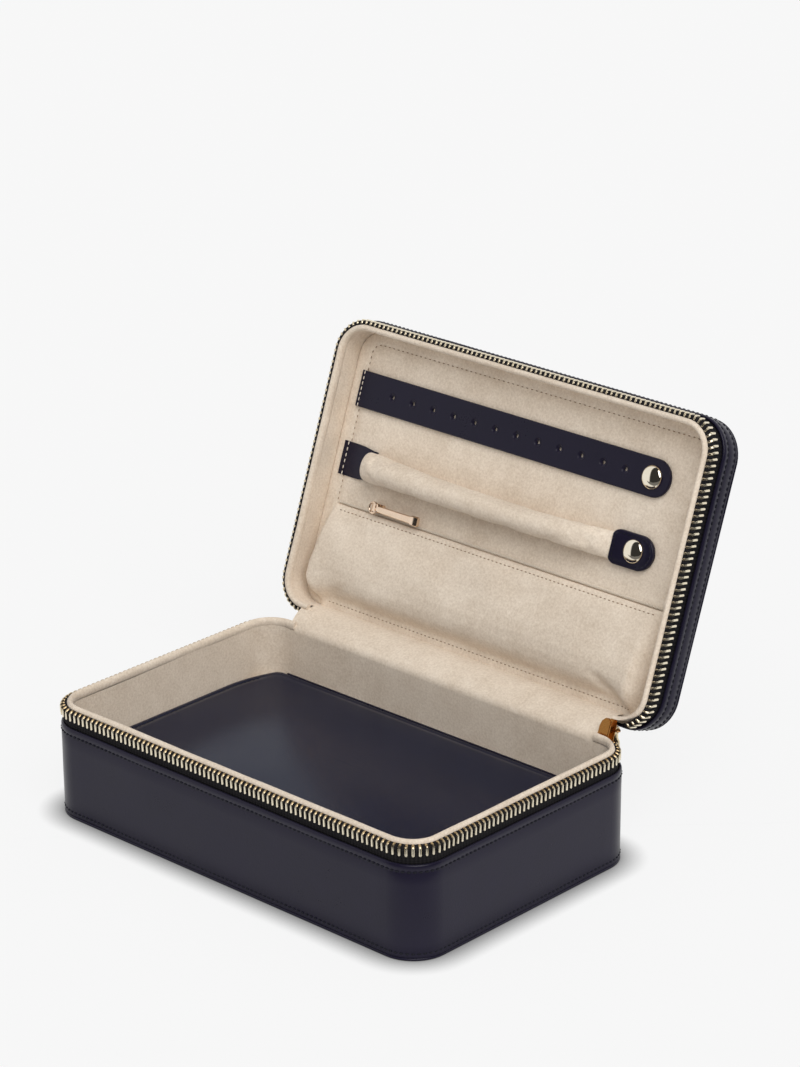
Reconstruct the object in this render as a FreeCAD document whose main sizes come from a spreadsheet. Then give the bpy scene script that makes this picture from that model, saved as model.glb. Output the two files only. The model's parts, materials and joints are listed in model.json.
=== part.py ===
import FreeCAD, Part
import math
import os
import re
import Sketcher

os.makedirs("parts", exist_ok=True)
doc = FreeCAD.newDocument("jewellery_case")
Vector = FreeCAD.Vector

# Driving dimensions in millimetres and degrees. X runs along the case, -Y is its front and
# the origin is the middle of the underside. Heights are taken with the lid shut.
driving = {
    "case_length": 222.0,
    "case_depth": 140.0,
    "corner_radius": 17.0,
    "base_wall_height": 43.5,
    "zip_gap": 17.0,
    "lid_wall_height": 11.5,
    "open_angle": 110.0,
    "hinge_setback": 2.0,
    # skins and stiffeners, from the outside in
    "leather": 1.2,
    "hem_height": 6.0,
    "hem_proud": 0.3,
    "glue_line": 0.1,
    "board": 2.3,
    "bottom_board": 2.4,
    "board_clear": 0.45,
    "lining": 1.4,
    "floor_lining": 1.0,
    "rim_drop": 0.4,
    # floor flap and the collar under it
    "flap_height": 27.0,
    "flap_leather": 1.0,
    "flap_core": 1.0,
    "flap_suede": 0.5,
    "flap_gap": 0.6,
    "flap_corner_run": 28.0,
    "flap_corner_trim": 6.5,
    "rest_gap": 0.3,
    "collar_width": 3.0,
    "flap_strip": 0.8,
    # hinge
    "web": 1.0,
    "web_radius": 9.2,
    "spine_left_inset": 2.0,
    "spine_right_inset": 7.0,
    # main zip
    "tape": 0.6,
    "tape_fit": 0.2,
    "tape_tuck": 7.0,
    "lid_tape_clear": 0.8,
    "tooth_pitch": 2.7,
    "tooth_thickness": 1.15,
    "tooth_depth": 2.8,
    "tooth_height": 5.4,
    "tooth_overlap": 2.0,
    "tooth_grip": 3.0,
    "tooth_slope": 1.8,
    "tooth_fit": 0.05,
    "stop_length": 3.2,
    "stop_drop": 0.3,
    # main slider and its pull
    "slider_setback": 11.7,
    "slider_length": 9.0,
    "slider_tail_height": 7.6,
    "slider_height": 10.5,
    "slider_plate": 0.9,
    "slider_channel": 3.4,
    "slider_tilt": 20.0,
    "slider_axis_back": 5.5,
    "slider_axis_drop": 4.0,
    "bail_shift": 1.5,
    "bail_width": 6.0,
    "bail_leg": 1.1,
    "bail_pin": 0.7,
    "pull_length": 28.0,
    "pull_width": 5.0,
    "pull_thickness": 1.4,
    "pull_play": 0.3,
    "pull_wall": 0.8,
    # lid panel
    "lid_depth": 12.0,
    "panel_gap": 0.1,
    # earring strap
    "strap_setback": 12.0,
    "strap_from_front": 32.5,
    "strap_tip": 1.3,
    "strap_width": 17.0,
    "strap_leather": 1.6,
    "strap_lift": 0.6,
    "hole_lead": 21.3,
    "hole_trail": 15.1,
    "hole_count": 12,
    "hole_diameter": 2.4,
    "snap_setback": 35.3,
    "snap_bore": 4.4,
    "snap_diameter": 11.0,
    "snap_rise": 2.0,
    "stud_flange": 9.0,
    "stud_flange_rise": 0.4,
    "stud_post": 3.6,
    # ring roll
    "roll_from_strap": 33.1,
    "roll_diameter": 13.8,
    "roll_setback": 10.0,
    "roll_end_length": 25.0,
    "roll_end_flat": 7.0,
    "roll_end_width": 15.0,
    "tab_leather": 2.2,
    "tab_width": 15.4,
    "tab_length": 13.5,
    "tab_tip": 2.8,
    # zip pocket
    "pocket_left_setback": 16.0,
    "pocket_right_setback": 12.0,
    "pocket_back_setback": 6.8,
    "pocket_lip": 3.6,
    "pocket_belly": 12.3,
    "pocket_belly_tuck": 1.6,
    "belly_from_back": 19.2,
    "belly_turn": 12.5,
    "zip_from_roll": 17.4,
    "mouth_from_zip": 3.8,
    "coil_width": 2.4,
    "coil_rise": 1.2,
    "pocket_tape_width": 6.6,
    "pocket_tape": 0.5,
    "small_slider_park": 24.0,
    "small_slider_length": 7.0,
    "small_slider_width": 6.0,
    "small_slider_roof": 1.1,
    "small_slider_gap": 0.4,
    "small_pull_length": 28.0,
    "small_pull_width": 3.6,
    "small_pull_thickness": 1.2,
    "small_knob_length": 4.2,
    "small_knob_width": 4.6,
    "small_knob_thickness": 2.4,
}

# Sizes worked out from the driving ones. Faces named by inset lie that far inside the outline.
derived = {
    "parting": "base_wall_height + zip_gap / 2",
    "lid_rim": "base_wall_height + zip_gap",
    "closed_height": "lid_rim + lid_wall_height",
    "back_face": "case_depth / 2",
    "hinge_line": "back_face + hinge_setback",
    "leather_back": "hem_proud + leather",
    "board_face": "leather_back + glue_line",
    "board_back": "board_face + board",
    "lining_face": "board_back + glue_line",
    "room_face": "lining_face + lining",
    "tape_inset": "leather_back + tape_fit + tape / 2",
    "tape_face": "tape_inset - tape / 2",
    "tape_back": "tape_inset + tape / 2",
    "rebate_back": "tape_back + glue_line",
    "board_low": "leather + glue_line",
    "board_floor": "board_low + bottom_board",
    "board_top": "parting - slider_height / 2 - board_clear",
    "rebate_low": "base_wall_height - tape_tuck - glue_line",
    "floor_low": "board_floor + glue_line",
    "floor_top": "floor_low + floor_lining",
    "lining_low": "floor_top + glue_line",
    "rim_top": "parting - rim_drop",
    "seam": "slider_mouth - slider_length - rest_gap",
    "back_lining_top": "parting - rim_drop - glue_line",
    "flap_edge": "room_face + flap_gap",
    "flap_side": "case_length / 2 - flap_edge",
    "flap_back": "back_face - collar_face - flap_strip - rest_gap",
    "flap_back_half": "flap_side - flap_corner_trim",
    "flap_bend_start": "flap_back - flap_corner_run",
    "flap_bend": "flap_corner_trim / 2 + flap_corner_run * flap_corner_run / (2 * flap_corner_trim)",
    "core_top": "flap_height - flap_leather - glue_line",
    "suede_top": "core_top - flap_core - glue_line",
    "flap_low": "suede_top - flap_suede",
    "collar_top": "flap_low - rest_gap",
    "collar_face": "room_face + glue_line",
    "tooth_low": "parting + tooth_overlap / 2 - tooth_height",
    "tape_top": "tooth_low + tooth_grip",
    "slider_mouth": "case_length / 2 - slider_setback",
    "bend_start": "case_length / 2 - corner_radius",
    "spine_left": "seam - spine_left_inset",
    "spine_right": "seam - spine_right_inset",
    "lid_tape_end": "lid_board_roof - lid_tape_clear",
    "bail_reach": "bail_pin + 2 * pull_play + pull_wall",
    "panel_face": "parting + lid_depth",
    "lid_board_roof": "closed_height - leather - glue_line - bottom_board",
    "panel_back": "lid_board_roof - glue_line",
    "panel_edge": "room_face + panel_gap",
    "strap_left": "case_length / 2 - strap_setback",
    "snap_place": "case_length / 2 - snap_setback",
    "strap_right": "snap_place + strap_tip",
    "strap_line": "strap_from_front - case_depth / 2",
    "hole_first": "strap_left - hole_lead",
    "hole_span": "hole_first + snap_place - hole_trail",
    "roll_end": "case_length / 2 - roll_setback",
    "roll_left": "roll_end - roll_end_length",
    "roll_line": "strap_line + roll_from_strap",
    "tab_centre": "snap_place + tab_tip",
    "roll_right": "tab_centre - tab_length",
    "coil_line": "roll_line + zip_from_roll",
    "pocket_left": "case_length / 2 - pocket_left_setback",
    "pocket_right": "case_length / 2 - pocket_right_setback",
    "pocket_mouth": "coil_line + mouth_from_zip",
    "pocket_bottom": "back_face - pocket_back_setback",
    "small_slider_place": "pocket_left - small_slider_park",
    "strap_low": "panel_face - strap_lift",
    "strap_top": "strap_low - strap_leather",
    "roll_height": "panel_face - rest_gap - roll_diameter / 2",
    "tab_top": "strap_low - tab_leather",
    "pocket_seat": "panel_face - panel_gap",
    "coil_seat": "pocket_seat - pocket_tape",
    "coil_top": "coil_seat - coil_rise",
}

sheet = doc.addObject("Spreadsheet::Sheet", "sizes")
for row, (alias, size) in enumerate(driving.items(), start=1):
    sheet.set(f"A{row}", alias)
    sheet.set(f"B{row}", str(size))
    sheet.setAlias(f"B{row}", alias)
doc.recompute()


def bound(text):
    # An expression on the sheet's cells from plain words, with derived sizes written out.
    def cell(word):
        if word.group() in derived:
            return "(" + bound(derived[word.group()]) + ")"
        return "sizes." + word.group()
    return re.sub(r"[a-z][a-z_]*", cell, text)


def number(text):
    return float(sheet.evalExpression(bound(text)))


pieces = []
still = FreeCAD.Placement()
lid_open = FreeCAD.Placement(
    Vector(0, 0, 0),
    FreeCAD.Rotation(Vector(1, 0, 0), -number("open_angle")),
    Vector(0, number("hinge_line"), number("parting")),
)
slider_open = FreeCAD.Placement(
    Vector(0, 0, 0),
    FreeCAD.Rotation(Vector(1, 0, 0), -number("slider_tilt")),
    Vector(0, number("back_face + slider_axis_back"), number("parting - slider_axis_drop")),
)


def new_body(name, placement=still):
    body = doc.addObject("PartDesign::Body", name)
    body.Label = name
    body.Placement = placement
    pieces.append(body)
    return body


def new_shape(name, shape, placement=still):
    # A piece whose section holds tangent arcs or whose copies follow the rim.
    feature = doc.addObject("Part::Feature", name)
    feature.Label = name
    feature.Shape = shape
    feature.Placement = placement
    pieces.append(feature)
    return feature


def new_sketch(body, plane, offset="0"):
    sketch = body.newObject("Sketcher::SketchObject", body.Name + "_sketch")
    support = next(feature for feature in body.Origin.OriginFeatures if feature.Role == plane)
    sketch.AttachmentSupport = [(support, "")]
    sketch.MapMode = "FlatFace"
    sketch.setExpression("AttachmentOffset.Base.z", bound(offset))
    return sketch


def dimension(sketch, kind, references, text):
    index = sketch.addConstraint(Sketcher.Constraint(kind, *references, number(text)))
    sketch.renameConstraint(index, f"size_{index}")
    sketch.setExpression(f"Constraints.size_{index}", bound(text))


def place_point(sketch, edge, end, across, along):
    dimension(sketch, "DistanceX", (-1, 1, edge, end), across)
    dimension(sketch, "DistanceY", (-1, 1, edge, end), along)


def draw_outline(sketch, inset):
    # The case's outline drawn a given distance inside its outer face.
    first = len(sketch.Geometry)
    centre_x = number("bend_start")
    centre_y = number("case_depth / 2 - corner_radius")
    radius = number(f"corner_radius - ({inset})")
    signs = [(1, 1), (-1, 1), (-1, -1), (1, -1)]
    arcs = []
    for quarter, (side, end) in enumerate(signs):
        middle = Vector(side * centre_x, end * centre_y, 0)
        circle = Part.Circle(middle, Vector(0, 0, 1), radius)
        arcs.append(Part.ArcOfCircle(circle, quarter * math.pi / 2, (quarter + 1) * math.pi / 2))
    for quarter, arc in enumerate(arcs):
        following = arcs[(quarter + 1) % 4]
        sketch.addGeometry(arc)
        sketch.addGeometry(Part.LineSegment(arc.EndPoint, following.StartPoint))
    for quarter in range(4):
        arc = first + 2 * quarter
        line = arc + 1
        following = first + 2 * ((quarter + 1) % 4)
        sketch.addConstraint(Sketcher.Constraint("Tangent", arc, 2, line, 1))
        sketch.addConstraint(Sketcher.Constraint("Tangent", line, 2, following, 1))
        sketch.addConstraint(Sketcher.Constraint("Vertical" if quarter % 2 else "Horizontal", line))
        if quarter:
            sketch.addConstraint(Sketcher.Constraint("Equal", first, arc))
    sketch.addConstraint(Sketcher.Constraint("Symmetric", first, 3, first + 4, 3, -1, 1))
    place_point(sketch, first, 3, "bend_start", "case_depth / 2 - corner_radius")
    dimension(sketch, "Radius", (first,), f"corner_radius - ({inset})")


def draw_polygon(sketch, points):
    first = len(sketch.Geometry)
    corners = [Vector(number(across), number(along), 0) for across, along in points]
    for index, corner in enumerate(corners):
        sketch.addGeometry(Part.LineSegment(corner, corners[(index + 1) % len(corners)]))
    for index in range(len(corners)):
        following = first + (index + 1) % len(corners)
        sketch.addConstraint(Sketcher.Constraint("Coincident", first + index, 2, following, 1))
    for index, (across, along) in enumerate(points):
        place_point(sketch, first + index, 1, across, along)


def draw_rectangle(sketch, left, right, low, high):
    draw_polygon(sketch, [(left, low), (right, low), (right, high), (left, high)])


def draw_circle(sketch, across, along, radius):
    middle = Vector(number(across), number(along), 0)
    edge = sketch.addGeometry(Part.Circle(middle, Vector(0, 0, 1), number(radius)))
    place_point(sketch, edge, 3, across, along)
    dimension(sketch, "Radius", (edge,), radius)


def draw_tongue(sketch, start, centre, middle, width):
    # A strip with a square end at start and a half-round end about centre.
    half = number(width) / 2
    axis = number(middle)
    bend = Part.Circle(Vector(number(centre), axis, 0), Vector(0, 0, 1), half)
    low = Part.LineSegment(Vector(number(start), axis - half, 0), Vector(number(centre), axis - half, 0))
    high = Part.LineSegment(Vector(number(centre), axis + half, 0), Vector(number(start), axis + half, 0))
    sketch.addGeometry(low)
    sketch.addGeometry(Part.ArcOfCircle(bend, -math.pi / 2, math.pi / 2))
    sketch.addGeometry(high)
    sketch.addGeometry(Part.LineSegment(high.EndPoint, low.StartPoint))
    sketch.addConstraint(Sketcher.Constraint("Tangent", 0, 2, 1, 1))
    sketch.addConstraint(Sketcher.Constraint("Tangent", 1, 2, 2, 1))
    sketch.addConstraint(Sketcher.Constraint("Coincident", 2, 2, 3, 1))
    sketch.addConstraint(Sketcher.Constraint("Coincident", 3, 2, 0, 1))
    sketch.addConstraint(Sketcher.Constraint("Horizontal", 0))
    sketch.addConstraint(Sketcher.Constraint("Vertical", 3))
    place_point(sketch, 1, 3, centre, middle)
    dimension(sketch, "Radius", (1,), f"({width}) / 2")
    dimension(sketch, "DistanceX", (-1, 1, 0, 1), start)


def pad(body, sketch, length, both_sides=False):
    feature = body.newObject("PartDesign::Pad", body.Name + "_pad")
    feature.Profile = sketch
    feature.SideType = "Symmetric" if both_sides else "One side"
    feature.setExpression("Length", bound(length))
    return feature


def pocket(body, sketch):
    feature = body.newObject("PartDesign::Pocket", body.Name + "_pocket")
    feature.Profile = sketch
    feature.Type = "ThroughAll"
    feature.SideType = "Symmetric"
    return feature


def add_layer(body, outer, inner, low, high):
    # A slab of the case's outline, or a ring of it where an inner face is given.
    sketch = new_sketch(body, "XY_Plane", low)
    draw_outline(sketch, outer)
    if inner:
        draw_outline(sketch, inner)
    pad(body, sketch, f"({high}) - ({low})")


def open_back(body, left, right, reach):
    # Cuts a ring open at the back of the case between two X positions.
    sketch = new_sketch(body, "XY_Plane")
    draw_rectangle(sketch, f"-({left})", right, f"back_face - ({reach})", "back_face + leather")
    pocket(body, sketch)


def bevel_edges(body, height, size):
    # Takes the corner off every edge that lies at one height.
    doc.recompute()
    solid = body.Tip
    level = number(height)
    names = []
    for index, edge in enumerate(solid.Shape.Edges, start=1):
        box = edge.BoundBox
        if abs(box.ZMin - level) < 1e-6 and abs(box.ZMax - level) < 1e-6:
            names.append(f"Edge{index}")
    chamfer = body.newObject("PartDesign::Chamfer", body.Name + "_chamfer")
    chamfer.Base = (solid, names)
    chamfer.setExpression("Size", bound(size))


def revolve(body, points):
    sketch = new_sketch(body, "XZ_Plane")
    draw_polygon(sketch, points)
    feature = body.newObject("PartDesign::Revolution", body.Name + "_turn")
    feature.Profile = sketch
    feature.ReferenceAxis = (sketch, ["V_Axis"])
    feature.Angle = 360.0


def leather_walls():
    bottom = new_body("base_bottom_leather")
    add_layer(bottom, "hem_proud", None, "0", "leather")
    bevel_edges(bottom, "0", "leather / 2")
    base = new_body("base_wall_leather")
    add_layer(base, "hem_proud", "leather_back", "leather", "base_wall_height - hem_height")
    add_layer(base, "0", "leather_back", "base_wall_height - hem_height", "base_wall_height")
    top = new_body("lid_top_leather", lid_open)
    add_layer(top, "hem_proud", None, "closed_height - leather", "closed_height")
    lid = new_body("lid_wall_leather", lid_open)
    add_layer(lid, "0", "leather_back", "lid_rim", "lid_rim + hem_height")
    add_layer(lid, "hem_proud", "leather_back", "lid_rim + hem_height", "closed_height - leather")


def boards():
    # Stiff trays with a rebate outside each rim for the zip tape.
    base = new_body("base_board")
    add_layer(base, "board_face", None, "board_low", "board_floor")
    add_layer(base, "board_face", "board_back", "board_floor", "rebate_low")
    add_layer(base, "rebate_back", "board_back", "rebate_low", "board_top")
    lid = new_body("lid_board", lid_open)
    rebate = "lid_tape_end + glue_line"
    add_layer(lid, "rebate_back", "board_back", "2 * parting - board_top", rebate)
    add_layer(lid, "board_face", "board_back", rebate, "lid_board_roof")
    add_layer(lid, "board_face", None, "lid_board_roof", "closed_height - board_low")


def linings():
    floor = new_body("base_floor_lining")
    add_layer(floor, "lining_face", None, "floor_low", "floor_top")
    base = new_body("base_lining")
    add_layer(base, "lining_face", "room_face", "lining_low", "rim_top")
    open_back(base, "seam", "seam", "corner_radius")
    bevel_edges(base, "rim_top", "lining / 3")
    back = new_body("base_back_lining")
    sketch = new_sketch(back, "XY_Plane", "lining_low")
    reach = "seam - glue_line"
    draw_rectangle(sketch, f"-({reach})", reach, "back_face - room_face", "back_face - lining_face")
    pad(back, sketch, "back_lining_top - lining_low")
    lid = new_body("lid_lining", lid_open)
    add_layer(lid, "lining_face", "room_face", "2 * parting - rim_top", "panel_back")
    open_back(lid, "seam", "slider_mouth + tooth_thickness", "corner_radius")
    bevel_edges(lid, "2 * parting - rim_top", "lining / 3")
    panel = new_body("lid_panel", lid_open)
    add_layer(panel, "panel_edge", None, "panel_face", "panel_back")


def draw_flap_trim(sketch):
    # What a flap loses at the back: its hinge edge and a long bend at each rear corner, which lets
    # the flap rise past the rounded corners of the lining.
    turn = math.asin(number("flap_corner_run / flap_bend"))
    bends = []
    for side, start, end in ((-1, math.pi - turn, math.pi), (1, 0.0, turn)):
        middle = Vector(side * number("flap_side - flap_bend"), number("flap_bend_start"), 0)
        circle = Part.Circle(middle, Vector(0, 0, 1), number("flap_bend"))
        bends.append(Part.ArcOfCircle(circle, start, end))
    wide = number("case_length / 2")
    low = number("flap_bend_start")
    rear = number("back_face")
    left, right = bends
    corners = [right.StartPoint, Vector(wide, low, 0), Vector(wide, rear, 0), Vector(-wide, rear, 0),
               Vector(-wide, low, 0), left.EndPoint]
    sketch.addGeometry(left)
    sketch.addGeometry(Part.LineSegment(left.StartPoint, right.EndPoint))
    sketch.addGeometry(right)
    for first, second in zip(corners, corners[1:]):
        sketch.addGeometry(Part.LineSegment(first, second))
    joined = [(0, 1, 1, 1), (1, 2, 2, 2), (2, 1, 3, 1), (7, 2, 0, 2)]
    joined += [(line, 2, line + 1, 1) for line in range(3, 7)]
    for pair in joined:
        sketch.addConstraint(Sketcher.Constraint("Coincident", *pair))
    place_point(sketch, 0, 2, "-flap_side", "flap_bend_start")
    place_point(sketch, 0, 1, "-flap_back_half", "flap_back")
    place_point(sketch, 2, 1, "flap_side", "flap_bend_start")
    place_point(sketch, 2, 2, "flap_back_half", "flap_back")
    for bend in (0, 2):
        dimension(sketch, "Radius", (bend,), "flap_bend")
    place_point(sketch, 3, 2, "case_length / 2", "flap_bend_start")
    place_point(sketch, 4, 2, "case_length / 2", "back_face")
    place_point(sketch, 5, 2, "-case_length / 2", "back_face")
    place_point(sketch, 6, 2, "-case_length / 2", "flap_bend_start")


def floor_flap():
    collar = new_body("floor_collar")
    add_layer(collar, "collar_face", "collar_face + collar_width", "lining_low", "collar_top")
    strip = new_body("flap_hinge_strip")
    sketch = new_sketch(strip, "XY_Plane", "collar_top")
    face = "back_face - collar_face"
    draw_rectangle(sketch, "-bend_start", "bend_start", f"{face} - flap_strip", face)
    pad(strip, sketch, "flap_height - collar_top")
    layers = [
        ("flap_leather_top", "core_top + glue_line", "flap_height"),
        ("flap_core_board", "suede_top + glue_line", "core_top"),
        ("flap_suede_back", "flap_low", "suede_top"),
    ]
    for name, low, high in layers:
        layer = new_body(name)
        add_layer(layer, "flap_edge", None, low, high)
        trim = new_sketch(layer, "XY_Plane")
        draw_flap_trim(trim)
        pocket(layer, trim)


def arc_between(centre, radius, start, end):
    points = []
    for angle in (start, (start + end) / 2, end):
        turn = math.radians(angle)
        points.append(centre + Vector(0, radius * math.cos(turn), radius * math.sin(turn)))
    return Part.Arc(*points).toShape()


def leather_spine():
    # The bare leather between the two rims keeps its length as the lid turns, so the bend's
    # radius follows from the opening angle and from how far the hinge line lies behind it.
    turn = number("open_angle")
    slope = math.tan(math.radians(turn / 2))
    offset = number("hinge_setback + hem_proud")
    leather = number("leather")
    radius = 2 * offset * slope / (2 * slope - math.radians(turn))
    run = number("zip_gap") / 2 + offset * slope - radius * slope
    outer_y = number("back_face - hem_proud")
    low = number("base_wall_height")
    centre = Vector(0, outer_y + radius, low + run)
    along = Vector(0, math.sin(math.radians(turn)), math.cos(math.radians(turn)))
    paths = []
    for face in (radius, radius + leather):
        bend = arc_between(centre, face, 180, 180 - turn)
        start = Vector(0, centre.y - face, low)
        tip = bend.Vertexes[-1].Point
        below = Part.makeLine(start, bend.Vertexes[0].Point)
        paths.append([below, bend, Part.makeLine(tip, tip + along * run)])
    outer = paths[0]
    ends = [(paths[1][0].Vertexes[0].Point, outer[0].Vertexes[0].Point)]
    ends.append((paths[1][2].Vertexes[-1].Point, outer[2].Vertexes[-1].Point))
    edges = outer + paths[1] + [Part.makeLine(*pair) for pair in ends]
    section = Part.Face(Part.Wire(Part.__sortEdges__(edges)))
    section.translate(Vector(-number("spine_left"), 0, 0))
    new_shape("leather_spine", section.extrude(Vector(number("spine_left + spine_right"), 0, 0)))


def hinge_web():
    # Suede that leaves the back lining upright, bends over and runs straight to the lid panel.
    radius = number("web_radius")
    thickness = number("web")
    low = number("back_lining_top + glue_line")
    centre = Vector(0, number("back_face - room_face") + radius, low)
    edge = Vector(0, number("back_face - panel_edge + rest_gap"), number("panel_face + rest_gap"))
    seat = lid_open.multVec(edge)
    reach = seat - centre
    heading = math.degrees(math.atan2(reach.z, reach.y))
    leave = heading + math.degrees(math.acos(radius / reach.Length))
    normal = Vector(0, math.cos(math.radians(leave)), math.sin(math.radians(leave)))
    edges = []
    ends = []
    for face, tip in ((radius, seat), (radius - thickness, seat - normal * thickness)):
        bend = arc_between(centre, face, 180, leave)
        edges += [bend, Part.makeLine(bend.Vertexes[-1].Point, tip)]
        ends.append((bend.Vertexes[0].Point, tip))
    edges.append(Part.makeLine(ends[0][0], ends[1][0]))
    edges.append(Part.makeLine(ends[0][1], ends[1][1]))
    section = Part.Face(Part.Wire(Part.__sortEdges__(edges)))
    half = number("seam - glue_line")
    section.translate(Vector(-half, 0, 0))
    new_shape("hinge_web", section.extrude(Vector(2 * half, 0, 0)))


def zip_tapes():
    base = new_body("base_zip_tape")
    add_layer(base, "tape_face", "tape_back", "base_wall_height - tape_tuck", "tape_top")
    lid = new_body("lid_zip_tape", lid_open)
    add_layer(lid, "tape_face", "tape_back", "2 * parting - tape_top", "lid_tape_end")
    for tape in (base, lid):
        open_back(tape, "spine_left + rest_gap", "slider_mouth + rest_gap", "corner_radius / 2")


def chain_stations(start, end):
    # Places along the zip's line from the right rear corner round the front to the left rear.
    radius = number("corner_radius - tape_inset")
    side = number("case_depth - 2 * corner_radius")
    front = number("case_length - 2 * corner_radius")
    corner_x = front / 2
    corner_y = side / 2
    quarter = math.pi / 2 * radius
    runs = [(corner_x, corner_y, 90, side), (corner_x, -corner_y, 0, front),
            (-corner_x, -corner_y, -90, side), (-corner_x, corner_y, -180, end)]
    pitch = number("tooth_pitch")
    stations = []
    place = start
    passed = 0.0
    for x, y, bearing, straight in runs:
        while place < passed + quarter + straight - 1e-9:
            on_arc = min(place - passed, quarter)
            turn = math.radians(bearing - 90 * on_arc / quarter)
            beyond = max(place - passed - quarter, 0.0)
            outward = Vector(math.cos(turn), math.sin(turn), 0)
            forward = Vector(outward.y, -outward.x, 0)
            stations.append((Vector(x, y, 0) + outward * radius + forward * beyond, math.degrees(turn)))
            place += pitch
        passed += quarter + straight
    return stations


def tooth_blank(length, top, slope, flipped):
    # A clamp that straddles the tape on two tapered legs, with a top that falls towards the lining:
    # X runs outwards across the tape and Y along the zip.
    half = number("tooth_depth / 2")
    slot = number("tape / 2 + tooth_fit")
    low = number("tooth_low")
    high = number(top)
    roof = number("tape_top + tooth_fit")
    inner = high - number(slope)
    profile = [(-half, inner), (-half, low), (-slot, roof), (slot, roof), (half, low), (half, high)]
    if flipped:
        profile = [(across, 2 * number("parting") - height) for across, height in profile]
    corners = [Vector(across, -length / 2, height) for across, height in profile]
    return Part.Face(Part.makePolygon(corners + corners[:1])).extrude(Vector(0, length, 0))


def zip_chains():
    first = number("slider_mouth + tooth_thickness - bend_start")
    reach = number("corner_radius - tape_inset")
    start = reach * math.asin(first / reach)
    step = number("tooth_pitch")
    tail = number("bend_start - spine_left - stop_length - tooth_pitch")
    chains = [("base", start, False, still), ("lid", start + step / 2, True, lid_open)]
    for side, begin, flipped, placement in chains:
        blank = tooth_blank(number("tooth_thickness"), "tooth_low + tooth_height", "tooth_slope", flipped)
        stop = tooth_blank(number("stop_length"), "parting - stop_drop", "0", flipped)
        stations = chain_stations(begin, tail)
        teeth = []
        for point, turn in stations:
            tooth = blank.copy()
            tooth.Placement = FreeCAD.Placement(point, FreeCAD.Rotation(Vector(0, 0, 1), turn))
            teeth.append(tooth)
        new_shape(f"{side}_zip_teeth", Part.makeCompound(teeth), placement)
        across = number("-(spine_left + rest_gap + stop_length / 2)")
        place = Vector(across, number("back_face - tape_inset"), 0)
        stop.Placement = FreeCAD.Placement(place, FreeCAD.Rotation(Vector(0, 0, 1), 90))
        new_shape(f"{side}_zip_stop", Part.makeCompound([stop]), placement)


def add_bail(body, plane, start, leg_box, pin):
    # Two legs on a plate and a round pin through them that a pull turns on.
    for step in ("0", "bail_width - bail_leg"):
        leg = new_sketch(body, plane, f"{start} + {step}")
        draw_rectangle(leg, *leg_box)
        pad(body, leg, "bail_leg")
    rod = new_sketch(body, plane, start)
    draw_circle(rod, *pin, "bail_pin")
    pad(body, rod, "bail_width")


def add_knuckle(body, plane):
    # The eye at the head of a pull, about its own origin.
    eye = new_sketch(body, plane, "bail_leg + pull_play - bail_width / 2")
    draw_circle(eye, "0", "0", "bail_pin + pull_play + pull_wall")
    draw_circle(eye, "0", "0", "bail_pin + pull_play")
    pad(body, eye, "bail_width - 2 * (bail_leg + pull_play)")


def blade_edge(length, width):
    # One long edge of a pull's blade: distances from the pin and half widths, from neck to tip.
    neck = "bail_width / 2 - bail_leg - pull_play"
    start = "bail_pin + pull_play + pull_wall / 4"
    shoulder = f"{start} + {width} / 2"
    return [
        (start, neck),
        (shoulder, neck),
        (f"{shoulder} + {width} / 4", f"{width} / 2"),
        (f"{length} - {width} / 4", f"{width} / 2"),
        (length, f"{width} / 4"),
    ]


def main_slider():
    # Drawn with the lid shut, then tilted the way the tapes lean when it opens.
    slider = new_body("zip_slider", slider_open)
    tail = "slider_mouth - slider_length"
    shoulder = "slider_mouth - slider_length * 0.4"
    inner_back = "back_face - lining_face + rest_gap + slider_plate"
    outer_face = f"{inner_back} + slider_channel"
    outline = [
        (tail, "parting - slider_tail_height / 2"),
        (shoulder, "parting - slider_height / 2"),
        ("slider_mouth", "parting - slider_height / 2"),
        ("slider_mouth", "parting + slider_height / 2"),
        (shoulder, "parting + slider_height / 2"),
        (tail, "parting + slider_tail_height / 2"),
    ]
    wedge = [
        ("slider_mouth - slider_length / 3", "parting"),
        ("slider_mouth", "parting - slider_height / 6"),
        ("slider_mouth", "parting + slider_height / 6"),
    ]
    layers = [
        (outline, inner_back, "slider_plate"),
        (wedge, outer_face, "slider_channel"),
        (outline, f"{outer_face} + slider_plate", "slider_plate"),
    ]
    for points, face, thickness in layers:
        sketch = new_sketch(slider, "XZ_Plane", f"-({face})")
        draw_polygon(sketch, points)
        pad(slider, sketch, thickness)
    seat = f"{outer_face} + slider_plate"
    middle = "slider_mouth - slider_length / 2 - bail_shift"
    pin_place = f"{seat} + bail_reach"
    half_leg = "bail_pin + bail_leg / 2"
    leg_box = (seat, f"{pin_place} + {half_leg}", f"parting - ({half_leg})", f"parting + {half_leg}")
    add_bail(slider, "YZ_Plane", f"{middle} - bail_width / 2", leg_box, (pin_place, "parting"))
    pivot = slider_open.multVec(Vector(number(middle), number(pin_place), number("parting")))
    pull = new_body("zip_pull", FreeCAD.Placement(pivot, FreeCAD.Rotation()))
    add_knuckle(pull, "YZ_Plane")
    blade = new_sketch(pull, "XZ_Plane", "-pull_thickness / 2")
    edge = blade_edge("pull_length", "pull_width")
    left = [(f"-({half})", f"-({drop})") for drop, half in edge]
    right = [(half, f"-({drop})") for drop, half in reversed(edge)]
    draw_polygon(blade, left + right)
    pad(pull, blade, "pull_thickness")


def on_lid(x, y, z):
    return lid_open.multiply(FreeCAD.Placement(Vector(number(x), number(y), number(z)), FreeCAD.Rotation()))


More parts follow.
